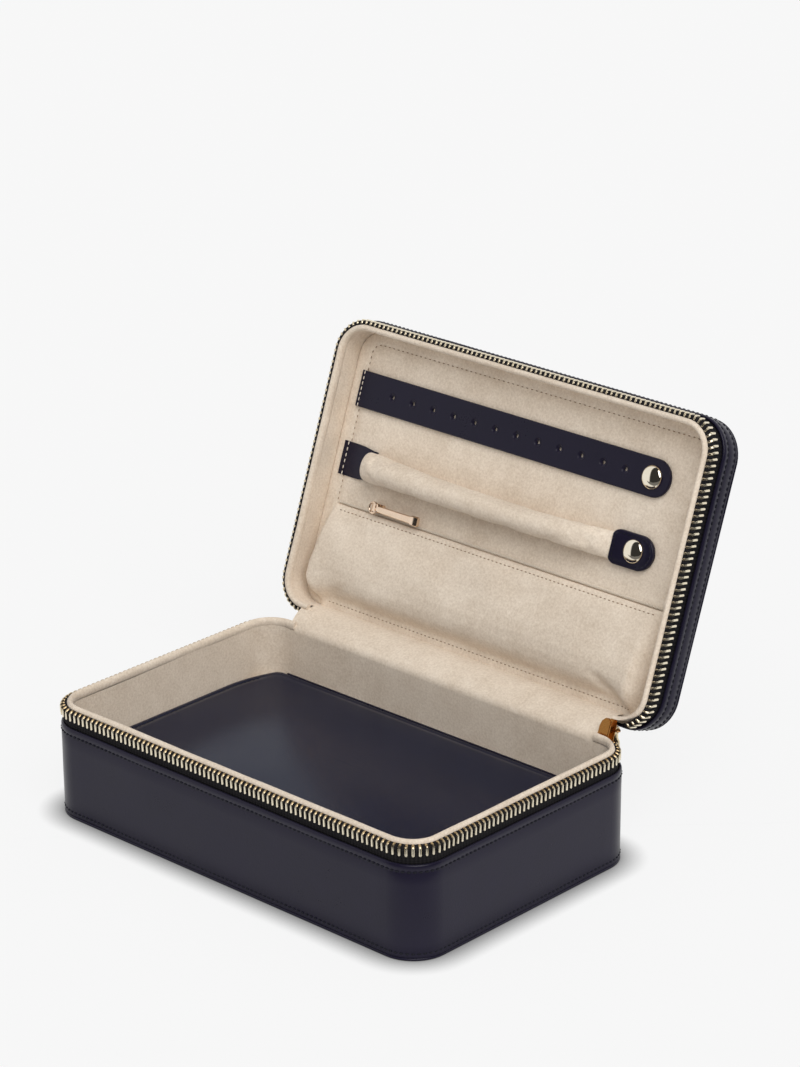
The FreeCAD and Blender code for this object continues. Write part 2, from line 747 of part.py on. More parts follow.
def snap_pair(prefix, line, leaf_top, leaf_low):
    # A stud standing on the lid panel and the cap pressed on the leather above it.
    stud = new_body(f"{prefix}_stud", on_lid("snap_place", line, "panel_face"))
    post_top = f"{leaf_low} - panel_face - snap_rise / 2"
    revolve(stud, [
        ("0", "0"),
        ("stud_flange / 2", "0"),
        ("stud_flange / 2", "-stud_flange_rise"),
        ("stud_post / 2", "-stud_flange_rise"),
        ("stud_post / 2", post_top),
        ("0", post_top),
    ])
    cap = new_body(f"{prefix}_snap_cap", on_lid("snap_place", line, leaf_top))
    revolve(cap, [
        ("0", "-snap_rise / 4"),
        ("snap_bore / 2", "-snap_rise / 4"),
        ("snap_bore / 2", "0"),
        ("snap_diameter / 2", "0"),
        ("snap_diameter / 2", "-snap_rise * 0.4"),
        ("snap_diameter * 0.42", "-snap_rise * 0.8"),
        ("snap_diameter * 0.26", "-snap_rise"),
        ("0", "-snap_rise"),
    ])


def bore(body, across, along, diameter):
    sketch = new_sketch(body, "XY_Plane")
    draw_circle(sketch, across, along, f"{diameter} / 2")
    return pocket(body, sketch)


def earring_strap():
    strap = new_body("earring_strap", lid_open)
    outline = new_sketch(strap, "XY_Plane", "strap_top")
    draw_tongue(outline, "-strap_left", "strap_right", "strap_line", "strap_width")
    pad(strap, outline, "strap_leather")
    bore(strap, "snap_place", "strap_line", "snap_bore")
    punch = bore(strap, "-hole_first", "strap_line", "hole_diameter")
    row = strap.newObject("PartDesign::LinearPattern", "strap_holes")
    row.Originals = [punch]
    row.Direction = (punch.Profile[0], ["H_Axis"])
    row.setExpression("Length", bound("hole_span"))
    row.setExpression("Occurrences", bound("hole_count"))
    strap.Tip = row
    snap_pair("strap", "strap_line", "strap_top", "strap_low")


def ring_roll():
    roll = doc.addObject("Part::Cylinder", "ring_roll")
    roll.Label = "ring_roll"
    roll.setExpression("Radius", bound("roll_diameter / 2"))
    roll.setExpression("Height", bound("roll_left + roll_right"))
    along = FreeCAD.Rotation(Vector(0, 1, 0), 90)
    start = Vector(-number("roll_left"), number("roll_line"), number("roll_height"))
    roll.Placement = lid_open.multiply(FreeCAD.Placement(start, along))
    pieces.append(roll)
    crown = "roll_height - roll_diameter / 2"
    seat = "panel_face - rest_gap"
    end = new_body("roll_sewn_end", lid_open)
    side = new_sketch(end, "XZ_Plane", "-(roll_line)")
    draw_polygon(side, [
        ("-roll_end", seat),
        ("-roll_end", f"{seat} - leather"),
        ("roll_end_flat - roll_end", f"{seat} - leather"),
        ("-roll_left - leather", crown),
        ("-roll_left", crown),
        ("-roll_left", seat),
    ])
    pad(end, side, "roll_end_width", both_sides=True)
    tab = new_body("roll_snap_tab", lid_open)
    outline = new_sketch(tab, "XY_Plane", "tab_top")
    draw_tongue(outline, "roll_right", "tab_centre", "roll_line", "tab_width")
    pad(tab, outline, "tab_leather")
    bore(tab, "snap_place", "roll_line", "snap_bore")
    snap_pair("roll", "roll_line", "tab_top", "strap_low")


def zip_pocket():
    # The pouch's section: flat against the panel, a low mouth and a belly that hangs towards the hinge.
    seat = number("pocket_seat")
    belly = number("panel_face - pocket_belly")
    left = -number("pocket_left")
    mouth = number("pocket_mouth")
    points = [
        Vector(left, number("pocket_bottom"), seat),
        Vector(left, mouth, seat),
        Vector(left, mouth, number("panel_face - pocket_lip")),
        Vector(left, number("pocket_bottom - belly_from_back"), belly),
    ]
    turn = points[3] + Vector(0, number("belly_turn"), number("pocket_belly_tuck"))
    edges = [Part.makeLine(points[index], points[index + 1]) for index in range(3)]
    edges.append(Part.Arc(points[3], turn, points[0]).toShape())
    section = Part.Face(Part.Wire(edges))
    width = number("pocket_left + pocket_right")
    new_shape("pocket_pouch", section.extrude(Vector(width, 0, 0)), lid_open)
    strips = [
        ("pocket_zip_tape", "pocket_tape_width", "coil_seat", "pocket_tape"),
        ("pocket_zip_coil", "coil_width", "coil_top", "coil_rise"),
    ]
    for name, width, low, rise in strips:
        strip = new_body(name, lid_open)
        sketch = new_sketch(strip, "XY_Plane", low)
        edges = (f"coil_line - {width} / 2", f"coil_line + {width} / 2")
        draw_rectangle(sketch, "-pocket_left", "pocket_right", *edges)
        pad(strip, sketch, rise)


def pocket_slider():
    slider = new_body("pocket_slider", lid_open)
    section = new_sketch(slider, "YZ_Plane", "-small_slider_place - small_slider_length / 2")
    half = "small_slider_width / 2"
    channel = "(coil_width / 2 + small_slider_gap)"
    ceiling = "coil_top - small_slider_gap"
    crown = f"{ceiling} - small_slider_roof"
    foot = "coil_seat - small_slider_gap"
    draw_polygon(section, [
        (f"coil_line - {half}", crown),
        (f"coil_line + {half}", crown),
        (f"coil_line + {half}", foot),
        (f"coil_line + {channel}", foot),
        (f"coil_line + {channel}", ceiling),
        (f"coil_line - {channel}", ceiling),
        (f"coil_line - {channel}", foot),
        (f"coil_line - {half}", foot),
    ])
    pad(slider, section, "small_slider_length")
    pin_height = f"{crown} - bail_reach"
    half_leg = "bail_pin + bail_leg / 2"
    reach = (f"-small_slider_place - ({half_leg})", f"{half_leg} - small_slider_place")
    leg_box = (*reach, f"{pin_height} - ({half_leg})", crown)
    pin = ("-small_slider_place", pin_height)
    add_bail(slider, "XZ_Plane", "-(coil_line + bail_width / 2)", leg_box, pin)
    pull = new_body("pocket_pull", on_lid("-small_slider_place", "coil_line", pin_height))
    add_knuckle(pull, "XZ_Plane")
    blade = new_sketch(pull, "XY_Plane", "-small_pull_thickness / 2")
    edge = blade_edge("small_pull_length", "small_pull_width")
    near = [(along, f"-({half})") for along, half in edge]
    draw_polygon(blade, near + edge[::-1])
    pad(pull, blade, "small_pull_thickness")
    knob = new_sketch(pull, "XY_Plane", "-small_knob_thickness / 2")
    sides = ("-small_knob_width / 2", "small_knob_width / 2")
    draw_rectangle(knob, "small_pull_length - small_knob_length", "small_pull_length", *sides)
    pad(pull, knob, "small_knob_thickness")
    bevel_edges(pull, "-small_knob_thickness / 2", "small_knob_thickness / 5")


def finish():
    doc.recompute()
    for item in doc.Objects:
        if "Invalid" in item.State or "Error" in item.State:
            raise RuntimeError(f"{item.Label} did not recompute: {item.State}")
    for piece in pieces:
        if piece.Shape.isNull() or not piece.Shape.isValid():
            raise RuntimeError(f"{piece.Label} has no valid shape")
        piece.Shape.exportStep(f"parts/{piece.Label}.step")


leather_walls()
boards()
linings()
floor_flap()
leather_spine()
hinge_web()
zip_tapes()
zip_chains()
main_slider()
earring_strap()
ring_roll()
zip_pocket()
pocket_slider()
finish()
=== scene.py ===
import json
import math
import bmesh
import bpy
from mathutils import Matrix, Vector, noise


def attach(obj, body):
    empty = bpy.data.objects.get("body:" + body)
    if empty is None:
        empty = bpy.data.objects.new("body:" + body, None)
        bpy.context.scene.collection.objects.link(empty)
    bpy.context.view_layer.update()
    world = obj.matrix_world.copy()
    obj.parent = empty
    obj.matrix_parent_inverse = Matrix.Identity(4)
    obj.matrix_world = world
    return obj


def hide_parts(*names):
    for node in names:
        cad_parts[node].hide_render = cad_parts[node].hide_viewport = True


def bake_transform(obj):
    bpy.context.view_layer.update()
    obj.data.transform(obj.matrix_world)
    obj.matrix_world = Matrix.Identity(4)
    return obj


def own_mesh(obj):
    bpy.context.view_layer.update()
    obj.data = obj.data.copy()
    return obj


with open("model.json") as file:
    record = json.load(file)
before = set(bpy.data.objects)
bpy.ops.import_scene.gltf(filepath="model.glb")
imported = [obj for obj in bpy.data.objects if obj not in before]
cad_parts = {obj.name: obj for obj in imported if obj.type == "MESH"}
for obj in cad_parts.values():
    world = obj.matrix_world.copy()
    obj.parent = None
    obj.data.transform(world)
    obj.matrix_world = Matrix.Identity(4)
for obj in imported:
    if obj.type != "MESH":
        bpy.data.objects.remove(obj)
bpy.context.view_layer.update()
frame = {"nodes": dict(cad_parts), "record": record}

nodes = frame["nodes"]
mm = 0.001
waveScale = 0.03
runScale = 0.04
print("frame loaded:", len(nodes), "solids")

# lengths below are in millimetres with the lid shut, as the case is drawn; lidTurn opens it
caseShape = {
    "length": 222.0,
    "depth": 140.0,
    "corner": 17.0,
    "hingeY": 72.0,
    "hingeZ": 52.0,
    "openAngle": 110.0,
    "parting": 52.0,
}


def lidTurn():
    hinge = Vector((0, caseShape["hingeY"], caseShape["hingeZ"])) * mm
    turn = Matrix.Rotation(math.radians(-caseShape["openAngle"]), 4, "X")
    return Matrix.Translation(hinge) @ turn @ Matrix.Translation(-hinge)


still = Matrix.Identity(4)
opened = lidTurn()


# shader maths as Python expressions
class Wire:
    def __init__(self, tree, socket=None):
        self.tree = tree
        self.socket = socket

    def node(self, kind, settings, links, out=0):
        made = self.tree.nodes.new(kind)
        for name, value in settings.items():
            setattr(made, name, value)
        for name, value in links.items():
            if isinstance(value, Wire):
                self.tree.links.new(value.socket, made.inputs[name])
            else:
                made.inputs[name].default_value = value
        return Wire(self.tree, made.outputs[out])

    def sum(self, operation, first, second):
        return self.node("ShaderNodeMath", {"operation": operation}, {0: first, 1: second})

    def __add__(self, other):
        return self.sum("ADD", self, other)

    __radd__ = __add__

    def __sub__(self, other):
        return self.sum("SUBTRACT", self, other)

    def __rsub__(self, other):
        return self.sum("SUBTRACT", other, self)

    def __mul__(self, other):
        return self.sum("MULTIPLY", self, other)

    __rmul__ = __mul__


def startMaterial(name, constants):
    material = bpy.data.materials.new(name)
    material.use_nodes = True
    tree = material.node_tree
    shader = tree.nodes["Principled BSDF"]
    for socket, value in constants.items():
        shader.inputs[socket].default_value = value
    return material, Wire(tree), shader


def link(wire, shader, socket):
    wire.tree.links.new(wire.socket, shader.inputs[socket])


def objectPoint(wire):
    return wire.node("ShaderNodeTexCoord", {}, {}, "Object")


def cloud(wire, point, scale, detail=3.0, roughness=0.55):
    links = {"Vector": point, "Scale": scale, "Detail": detail, "Roughness": roughness}
    return wire.node("ShaderNodeTexNoise", {}, links, "Fac")


def tint(wire, factor, low, high):
    links = {"Factor": factor}
    for socket, colour in ((6, low), (7, high)):
        links[socket] = colour if isinstance(colour, Wire) else (*colour, 1)
    return wire.node("ShaderNodeMix", {"data_type": "RGBA"}, links, 2)


def bump(wire, height, strength, distance):
    links = {"Height": height, "Strength": strength, "Distance": distance}
    return wire.node("ShaderNodeBump", {}, links)


# each kind of leather: name, dark and light colour, roughness, gloss
leatherLook = {
    "shell": ("navyLeather", (0.0072, 0.0058, 0.0162), (0.0142, 0.0114, 0.0298), 0.31, 0.235),
    "floor": ("floorLeather", (0.0028, 0.0052, 0.0205), (0.0070, 0.0108, 0.0350), 0.23, 0.14),
    "grain": 1500.0,
    "pores": 1050.0,
    "patch": 55.0,
    "toneShares": (0.7, 0.3),
    "roughnessShares": (0.16, 0.08),
    "reliefShares": (0.6, 0.6),
    "relief": (0.10, 0.00025),
}


def navyLeather(kind):
    look = leatherLook
    name, dark, light, roughness, gloss = look[kind]
    material, wire, shader = startMaterial(name, {"Specular IOR Level": gloss})
    point = objectPoint(wire)
    grain = cloud(wire, point, look["grain"], 2.0)
    pores = wire.node("ShaderNodeTexVoronoi", {}, {"Vector": point, "Scale": look["pores"]}, "Distance")
    patch = cloud(wire, point, look["patch"], 4.0)
    patchTone, grainTone = look["toneShares"]
    patchRough, grainRough = look["roughnessShares"]
    grainRelief, poreRelief = look["reliefShares"]
    link(tint(wire, patch * patchTone + grain * grainTone, dark, light), shader, "Base Color")
    link(roughness + patchRough * (patch - 0.5) + grainRough * (grain - 0.5), shader, "Roughness")
    link(bump(wire, grain * grainRelief + pores * poreRelief, *look["relief"]), shader, "Normal")
    return material


suedeLook = {
    "dark": (0.625, 0.505, 0.385),
    "light": (0.915, 0.805, 0.675),
    "nap": 900.0,
    "brushed": 90.0,
    "mottle": 24.0,
    "shadeShares": (1.5, 0.8, 0.45),
    "reliefShares": (0.7, 0.5),
    "relief": (0.30, 0.0005),
    "surface": {
        "Roughness": 0.95,
        "Specular IOR Level": 0.12,
        "Sheen Weight": 0.22,
        "Sheen Roughness": 0.5,
    },
}


def creamSuede():
    look = suedeLook
    material, wire, shader = startMaterial("creamSuede", look["surface"])
    point = objectPoint(wire)
    nap = cloud(wire, point, look["nap"], 3.0, 0.7)
    brushed = cloud(wire, point, look["brushed"], 4.0, 0.65)
    mottle = cloud(wire, point, look["mottle"], 3.0)
    napShade, brushedShade, mottleShade = look["shadeShares"]
    shade = 0.5 + napShade * (nap - 0.5) + brushedShade * (brushed - 0.5) + mottleShade * (mottle - 0.5)
    napRelief, brushedRelief = look["reliefShares"]
    link(tint(wire, shade, look["dark"], look["light"]), shader, "Base Color")
    link(bump(wire, nap * napRelief + brushed * brushedRelief, *look["relief"]), shader, "Normal")
    return material


# each kind of gold: worn and bright colour, roughness, how far smudges roughen it; the slider's kind is
# painted reflection and shade in both its colours
goldLook = {
    "polished": ((0.74, 0.60, 0.38), (0.87, 0.74, 0.52), 0.15, 0.10),
    "pale": ((0.80, 0.70, 0.50), (0.93, 0.86, 0.70), 0.22, 0.10),
    # the main slider's kind is painted reflection: its gold is darkened to the warm brown that the shaded
    # suede around it gives
    "shadedReflection": ((0.42, 0.18, 0.04), (0.62, 0.30, 0.09), 0.20, 0.10),
    "cap": ((0.79, 0.71, 0.55), (0.88, 0.82, 0.70), 0.02, 0.05),
    "rose": ((0.72, 0.53, 0.38), (0.90, 0.73, 0.58), 0.10, 0.08),
    # crown: painted shade, a darker brown gold laid on the top of each tooth, where its reflection looks
    # darker
    "crown": (0.47, 0.34, 0.18),
    "smudge": 260.0,
}


def goldMetal(kind):
    worn, bright, roughness, spread = goldLook[kind]
    material, wire, shader = startMaterial(kind + "Gold", {"Metallic": 1.0})
    point = objectPoint(wire)
    smudge = cloud(wire, point, goldLook["smudge"], 3.0)
    colour = tint(wire, smudge, worn, bright)
    # the tops of the teeth take the painted shade colour, as far as their crown mark says
    if kind == "pale":
        crown = wire.node("ShaderNodeAttribute", {"attribute_name": "crown"}, {}, "Fac")
        colour = tint(wire, crown, colour, goldLook["crown"])
    link(colour, shader, "Base Color")
    link(roughness + spread * smudge, shader, "Roughness")
    return material


tapeLook = {
    "dark": (0.004, 0.004, 0.005),
    "light": (0.016, 0.014, 0.016),
    "weft": 1100.0 / 6,
    "warp": 1100.0 / 4,
    "weaveShares": (0.6, 0.4),
    "relief": (0.5, 0.0002),
}


def zipTape():
    look = tapeLook
    material, wire, shader = startMaterial("zipTape", {"Roughness": 0.85, "Specular IOR Level": 0.2})
    along = wire.node("ShaderNodeUVMap", {"uv_map": "along"}, {})
    ribs = []
    for direction, scale in (("X", look["weft"]), ("Y", look["warp"])):
        links = {"Vector": along, "Scale": scale}
        ribs.append(wire.node("ShaderNodeTexWave", {"bands_direction": direction}, links, "Fac"))
    weftShare, warpShare = look["weaveShares"]
    weave = ribs[0] * weftShare + ribs[1] * warpShare
    link(tint(wire, weave, look["dark"], look["light"]), shader, "Base Color")
    link(bump(wire, weave, *look["relief"]), shader, "Normal")
    return material


threadLook = {
    "navy": ((0.004, 0.004, 0.008), (0.014, 0.014, 0.024)),
    "cream": ((0.60, 0.52, 0.42), (0.85, 0.77, 0.66)),
    "brown": ((0.24, 0.15, 0.09), (0.40, 0.28, 0.19)),
    "ply": 2600.0,
    "relief": (0.3, 0.0002),
}


def thread(kind):
    look = threadLook
    material, wire, shader = startMaterial(kind + "Thread", {"Roughness": 0.7, "Specular IOR Level": 0.25})
    ply = cloud(wire, objectPoint(wire), look["ply"], 2.0)
    link(tint(wire, ply, *look[kind]), shader, "Base Color")
    link(bump(wire, ply, *look["relief"]), shader, "Normal")
    return material


cardLook = {"dark": (0.20, 0.16, 0.12), "light": (0.33, 0.28, 0.22), "fibre": 700.0}


def boardCard():
    look = cardLook
    material, wire, shader = startMaterial("boardCard", {"Roughness": 0.9})
    fibres = cloud(wire, objectPoint(wire), look["fibre"], 4.0)
    link(tint(wire, fibres, look["dark"], look["light"]), shader, "Base Color")
    return material


leather = navyLeather("shell")
floorLeather = navyLeather("floor")
suede = creamSuede()
gold = goldMetal("polished")
paleGold = goldMetal("pale")
shadedReflectionGold = goldMetal("shadedReflection")
capGold = goldMetal("cap")
roseGold = goldMetal("rose")
tape = zipTape()
card = boardCard()
navyThread = thread("navy")
creamThread = thread("cream")
brownThread = thread("brown")
print("materials made")


# mesh helpers
def placed(name, data):
    thing = bpy.data.objects.new(name, data)
    bpy.context.scene.collection.objects.link(thing)
    return thing


def meshOf(name, form):
    mesh = bpy.data.meshes.new(name)
    form.to_mesh(mesh)
    form.free()
    return mesh


def shaded(mesh, sharp=None):
    for face in mesh.polygons:
        face.use_smooth = True
    if sharp:
        mesh.set_sharp_from_angle(angle=math.radians(sharp))


def runs(points):
    # the length run at each point of a closed line
    total = [0.0]
    for k, point in enumerate(points):
        total.append(total[-1] + (Vector(points[(k + 1) % len(points)]) - Vector(point)).length)
    return total


def loft(name, rows, wrapRows=False, caps=False):
    # a skin over rows of points; every row closes on itself
    cols = len(rows[0])
    across = runs(rows[0])
    along = runs([row[0] for row in rows])
    faces = []
    corners = []
    for i in range(len(rows) - (0 if wrapRows else 1)):
        j = (i + 1) % len(rows)
        for k in range(cols):
            m = (k + 1) % cols
            faces.append((i * cols + k, i * cols + m, j * cols + m, j * cols + k))
            corners += [(along[i], across[k]), (along[i], across[k + 1]),
                        (along[i + 1], across[k + 1]), (along[i + 1], across[k])]
    if caps:
        last = (len(rows) - 1) * cols
        faces.append(tuple(range(cols))[::-1])
        faces.append(tuple(last + k for k in range(cols)))
        corners += [(0.0, across[k]) for k in range(cols)][::-1]
        corners += [(along[len(rows) - 1], across[k]) for k in range(cols)]
    mesh = bpy.data.meshes.new(name)
    mesh.from_pydata([Vector(point) * mm for row in rows for point in row], [], faces)
    layer = mesh.uv_layers.new(name="along")
    for loop, (u, v) in zip(layer.data, corners):
        loop.uv = (u * mm, v * mm)
    return mesh


def outwards(mesh):
    form = bmesh.new()
    form.from_mesh(mesh)
    bmesh.ops.recalc_face_normals(form, faces=form.faces)
    form.to_mesh(mesh)
    form.free()


def newPiece(name, mesh, finish, place=still, sharp=45.0):
    outwards(mesh)
    mesh.transform(place)
    shaded(mesh, sharp)
    mesh.materials.clear()
    mesh.materials.append(finish)
    return placed(name, mesh)


def dress(piece, body, slot, *solids):
    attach(piece, body)
    if solids:
        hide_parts(*solids)
    return piece


def applied(piece):
    # the piece with its modifiers turned into plain mesh
    depsgraph = bpy.context.evaluated_depsgraph_get()
    mesh = bpy.data.meshes.new_from_object(piece.evaluated_get(depsgraph))
    piece.modifiers.clear()
    old = piece.data
    piece.data = mesh
    bpy.data.meshes.remove(old)
    return piece


def outline(right=None, left=None, cornerSteps=12, straightStep=6.0):
    # stations round the case from the back, past the right side and the front, to the back again
    halfX = caseShape["length"] / 2
    halfY = caseShape["depth"] / 2
    radius = caseShape["corner"]
    middleX = halfX - radius
    middleY = halfY - radius
    ring = right is None
    begin = 0.0 if ring else right
    end = 0.0 if ring else -left
    stations = []

    def straight(start, stop, normal):
        count = max(1, round((stop - start).length / straightStep))
        stations.extend((point, normal) for point in spread(start, stop, count))

    def bend(centre, first, last):
        for index in range(cornerSteps):
            angle = math.radians(first + (last - first) * index / cornerSteps)
            normal = Vector((math.cos(angle), math.sin(angle), 0))
            stations.append((centre + normal * radius, normal))

    start = 90.0
    if begin < middleX:
        straight(Vector((begin, halfY, 0)), Vector((middleX, halfY, 0)), Vector((0, 1, 0)))
    else:
        start = 90.0 - math.degrees(math.asin((begin - middleX) / radius))
    bend(Vector((middleX, middleY, 0)), start, 0)
    straight(Vector((halfX, middleY, 0)), Vector((halfX, -middleY, 0)), Vector((1, 0, 0)))
    bend(Vector((middleX, -middleY, 0)), 0, -90)
    straight(Vector((middleX, -halfY, 0)), Vector((-middleX, -halfY, 0)), Vector((0, -1, 0)))
    bend(Vector((-middleX, -middleY, 0)), -90, -180)
    straight(Vector((-halfX, -middleY, 0)), Vector((-halfX, middleY, 0)), Vector((-1, 0, 0)))
    bend(Vector((-middleX, middleY, 0)), -180, -270)
    straight(Vector((-middleX, halfY, 0)), Vector((end, halfY, 0)), Vector((0, 1, 0)))
    if not ring:
        stations.append((Vector((end, halfY, 0)), Vector((0, 1, 0))))
    return stations


def clamped(value):
    return max(0.0, min(1.0, value))


def smooth(value, start, end):
    share = clamped((value - start) / (end - start))
    return share * share * (3 - 2 * share)


def drawnIn(normal, height, taper):
    # the lid's front wall leans in towards its crown
    return taper * max(0.0, -normal.y) * smooth(height, *shellLook["taperRise"])


def ringRows(stations, profile, waviness=0.0, seed=0.0, taper=0.0):
    rows = []
    for base, normal in stations:
        row = []
        for inset, height in profile:
            point = base - normal * (inset + drawnIn(normal, height, taper))
            spot = Vector((point.x * waveScale, point.y * waveScale, height * waveScale + seed))
            wave = waviness * noise.noise(spot)
            row.append((point.x + normal.x * wave, point.y + normal.y * wave, height))
        rows.append(row)
    return rows


def spread(first, last, count):
    # even points from first up to, but not at, last
    return [first.lerp(last, k / count) for k in range(count)]


def arcOf(x, y, radius, height, first, last, steps):
    # points on a level arc between two angles in degrees
    turns = [math.radians(first + (last - first) * k / steps) for k in range(steps + 1)]
    return [Vector((x + radius * math.cos(turn), y + radius * math.sin(turn), height)) for turn in turns]


def flipped(profile):
    # the lid's half of a profile, mirrored across the parting plane
    return [(inset, 2 * caseShape["parting"] - height) for inset, height in profile]


# Geometry Nodes trees
def startTree(name, **inputs):
    tree = bpy.data.node_groups.new(name, "GeometryNodeTree")
    tree.interface.new_socket("Geometry", in_out="INPUT", socket_type="NodeSocketGeometry")
    for label, kind in inputs.items():
        tree.interface.new_socket(label, in_out="INPUT", socket_type="NodeSocket" + kind)
    tree.interface.new_socket("Geometry", in_out="OUTPUT", socket_type="NodeSocketGeometry")
    return tree, tree.nodes.new("NodeGroupInput").outputs


def joinNodes(tree, *pairs):
    for first, second in pairs:
        tree.links.new(first, second)


def treeNode(tree, kind, settings=None, values=None):
    made = tree.nodes.new(kind)
    for name, value in (settings or {}).items():
        setattr(made, name, value)
    for name, value in (values or {}).items():
        made.inputs[name].default_value = value
    return made


def endTree(tree, source, given):
    real = treeNode(tree, "GeometryNodeRealizeInstances")
    paint = treeNode(tree, "GeometryNodeSetMaterial")
    result = treeNode(tree, "NodeGroupOutput")
    joinNodes(tree, (source, real.inputs[0]), (real.outputs[0], paint.inputs["Geometry"]),
              (given["Material"], paint.inputs["Material"]), (paint.outputs[0], result.inputs[0]))
    return tree


def alongCurve(tree, given):
    # points at an even pitch on the host's lines, with the turn that lays Y along the line
    curve = treeNode(tree, "GeometryNodeMeshToCurve")
    spaced = treeNode(tree, "GeometryNodeResampleCurve", {"mode": "LENGTH"})
    points = treeNode(tree, "GeometryNodeCurveToPoints", {"mode": "EVALUATED"})
    turn = treeNode(tree, "FunctionNodeAlignRotationToVector", {"axis": "Y"})
    joinNodes(tree, (given["Geometry"], curve.inputs[0]), (curve.outputs[0], spaced.inputs["Curve"]),
              (given["Pitch"], spaced.inputs["Length"]), (spaced.outputs[0], points.inputs["Curve"]),
              (points.outputs["Tangent"], turn.inputs["Vector"]))
    return points.outputs["Points"], turn


def scattered(tree, points, shape):
    place = treeNode(tree, "GeometryNodeInstanceOnPoints")
    joinNodes(tree, (points, place.inputs["Points"]), (shape, place.inputs["Instance"]))
    return place


def cutAway(tree, mesh, tools):
    real = treeNode(tree, "GeometryNodeRealizeInstances")
    cut = treeNode(tree, "GeometryNodeMeshBoolean", {"operation": "DIFFERENCE", "solver": "EXACT"})
    joinNodes(tree, (tools.outputs[0], real.inputs[0]), (mesh, cut.inputs["Mesh 1"]),
              (real.outputs[0], cut.inputs["Mesh 2"]))
    return cut.outputs["Mesh"]


def stitchTree():
    tree, given = startTree("stitchRow", Pitch="Float", Stitch="Vector", Material="Material")
    points, turn = alongCurve(tree, given)
    bead = treeNode(tree, "GeometryNodeMeshUVSphere", None, {"Segments": 8, "Rings": 5, "Radius": 1.0})
    place = scattered(tree, points, bead.outputs[0])
    joinNodes(tree, (turn.outputs[0], place.inputs["Rotation"]), (given["Stitch"], place.inputs["Scale"]))
    return endTree(tree, place.outputs[0], given)


def toothTree():
    tree, given = startTree("toothRow", Pitch="Float", Tooth="Object", Material="Material")
    points, turn = alongCurve(tree, given)
    turn.pivot_axis = "Z"
    tooth = treeNode(tree, "GeometryNodeObjectInfo")
    place = scattered(tree, points, tooth.outputs["Geometry"])
    joinNodes(tree, (given["Tooth"], tooth.inputs["Object"]), (turn.outputs[0], place.inputs["Rotation"]))
    return endTree(tree, place.outputs[0], given)


def punchTree():
    # a row of holes, each in a shallow dimple that a ball presses
    tree, given = startTree("punchedHoles", Count="Int", First="Vector", Step="Vector", Radius="Float",
                            Depth="Float", Dimple="Float", Lift="Vector", Material="Material")
    row = treeNode(tree, "GeometryNodeMeshLine")
    drill = treeNode(tree, "GeometryNodeMeshCylinder", None, {"Vertices": 20})
    above = treeNode(tree, "GeometryNodeSetPosition")
    ball = treeNode(tree, "GeometryNodeMeshUVSphere", None, {"Segments": 24, "Rings": 16})
    joinNodes(tree, (given["Count"], row.inputs["Count"]), (given["First"], row.inputs["Start Location"]),
              (given["Step"], row.inputs["Offset"]), (given["Radius"], drill.inputs["Radius"]),
              (given["Depth"], drill.inputs["Depth"]), (row.outputs[0], above.inputs["Geometry"]),
              (given["Lift"], above.inputs["Offset"]), (given["Dimple"], ball.inputs["Radius"]))
    dented = cutAway(tree, given["Geometry"], scattered(tree, above.outputs[0], ball.outputs["Mesh"]))
    pierced = cutAway(tree, dented, scattered(tree, row.outputs[0], drill.outputs["Mesh"]))
    return endTree(tree, pierced, given)


trees = {"stitch": stitchTree(), "tooth": toothTree(), "punch": punchTree()}


def grow(host, tree, values):
    # runs a tree on a host mesh and keeps the result as the host's own plain mesh
    modifier = host.modifiers.new("grow", "NODES")
    modifier.node_group = tree
    for item in tree.interface.items_tree:
        if item.in_out == "INPUT" and item.name in values:
            modifier[item.identifier] = values[item.name]
    host.update_tag()
    bpy.context.view_layer.update()
    return applied(host)


def lineHost(name, lines):
    points = []
    edges = []
    for line, closed in lines:
        first = len(points)
        points += [Vector(point) * mm for point in line]
        edges += [(first + k, first + k + 1) for k in range(len(line) - 1)]
        if closed:
            edges.append((len(points) - 1, first))
    mesh = bpy.data.meshes.new(name)
    mesh.from_pydata(points, edges, [])
    return placed(name, mesh)


def stitches(name, lines, finish, sizes, place=still):
    pitch, length, width, height = sizes
    host = lineHost(name, lines)
    size = Vector((width / 2, length / 2, height / 2)) * mm
    grow(host, trees["stitch"], {"Pitch": pitch * mm, "Stitch": size, "Material": finish})
    shaded(host.data)
    host.data.transform(place)
    return host


def ringLine(stations, inset, height, taper):
    line = []
    for base, normal in stations:
        point = base - normal * (inset + drawnIn(normal, height, taper))
        line.append((point.x, point.y, height))
    return line


# leather shell of the base and the lid; profiles are (inset, height) pairs, stitch sizes are
# pitch, length, width and height
shellLook = {
    "rimStitch": (0.24, 40.3),
    "footStitch": (0.38, 3.2),
    "crownStitch": (0.38, 69.0),
    "stitch": (2.5, 1.75, 0.85, 0.85),
    "waviness": 0.22,
    "lidTaper": 1.2,
    "taperRise": (58.0, 74.0),
    "wall": [(1.5, 1.2), (0.75, 1.0), (0.42, 1.35), (0.3, 2.0), (0.3, 2.65), (0.5, 3.2), (0.3, 3.75),
             (0.3, 8.0), (0.25, 20.0), (0.2, 34.0), (0.13, 39.5), (0.5, 40.3), (0.1, 41.1), (0.08, 42.3),
             (0.2, 42.95), (0.55, 43.4), (1.0, 43.5), (1.35, 43.3), (1.5, 42.7)],
    "lidWall": [(1.5, 61.3), (1.35, 60.7), (1.0, 60.5), (0.55, 60.6), (0.2, 61.05), (0.08, 61.7),
                (0.1, 63.0), (0.5, 63.7), (0.13, 64.5), (0.28, 68.4), (0.5, 69.0), (0.3, 69.6),
                (0.36, 70.3), (0.7, 70.75), (1.5, 70.8)],
    "foot": [(1.6, 0.0), (0.75, 0.0), (0.35, 0.12), (0.18, 0.45), (0.2, 0.85), (0.5, 1.15), (1.6, 1.2)],
    "crown": [(1.6, 72.0), (1.2, 71.98), (0.65, 71.8), (0.32, 71.35), (0.35, 70.95), (0.6, 70.8),
              (1.6, 70.8)],
}


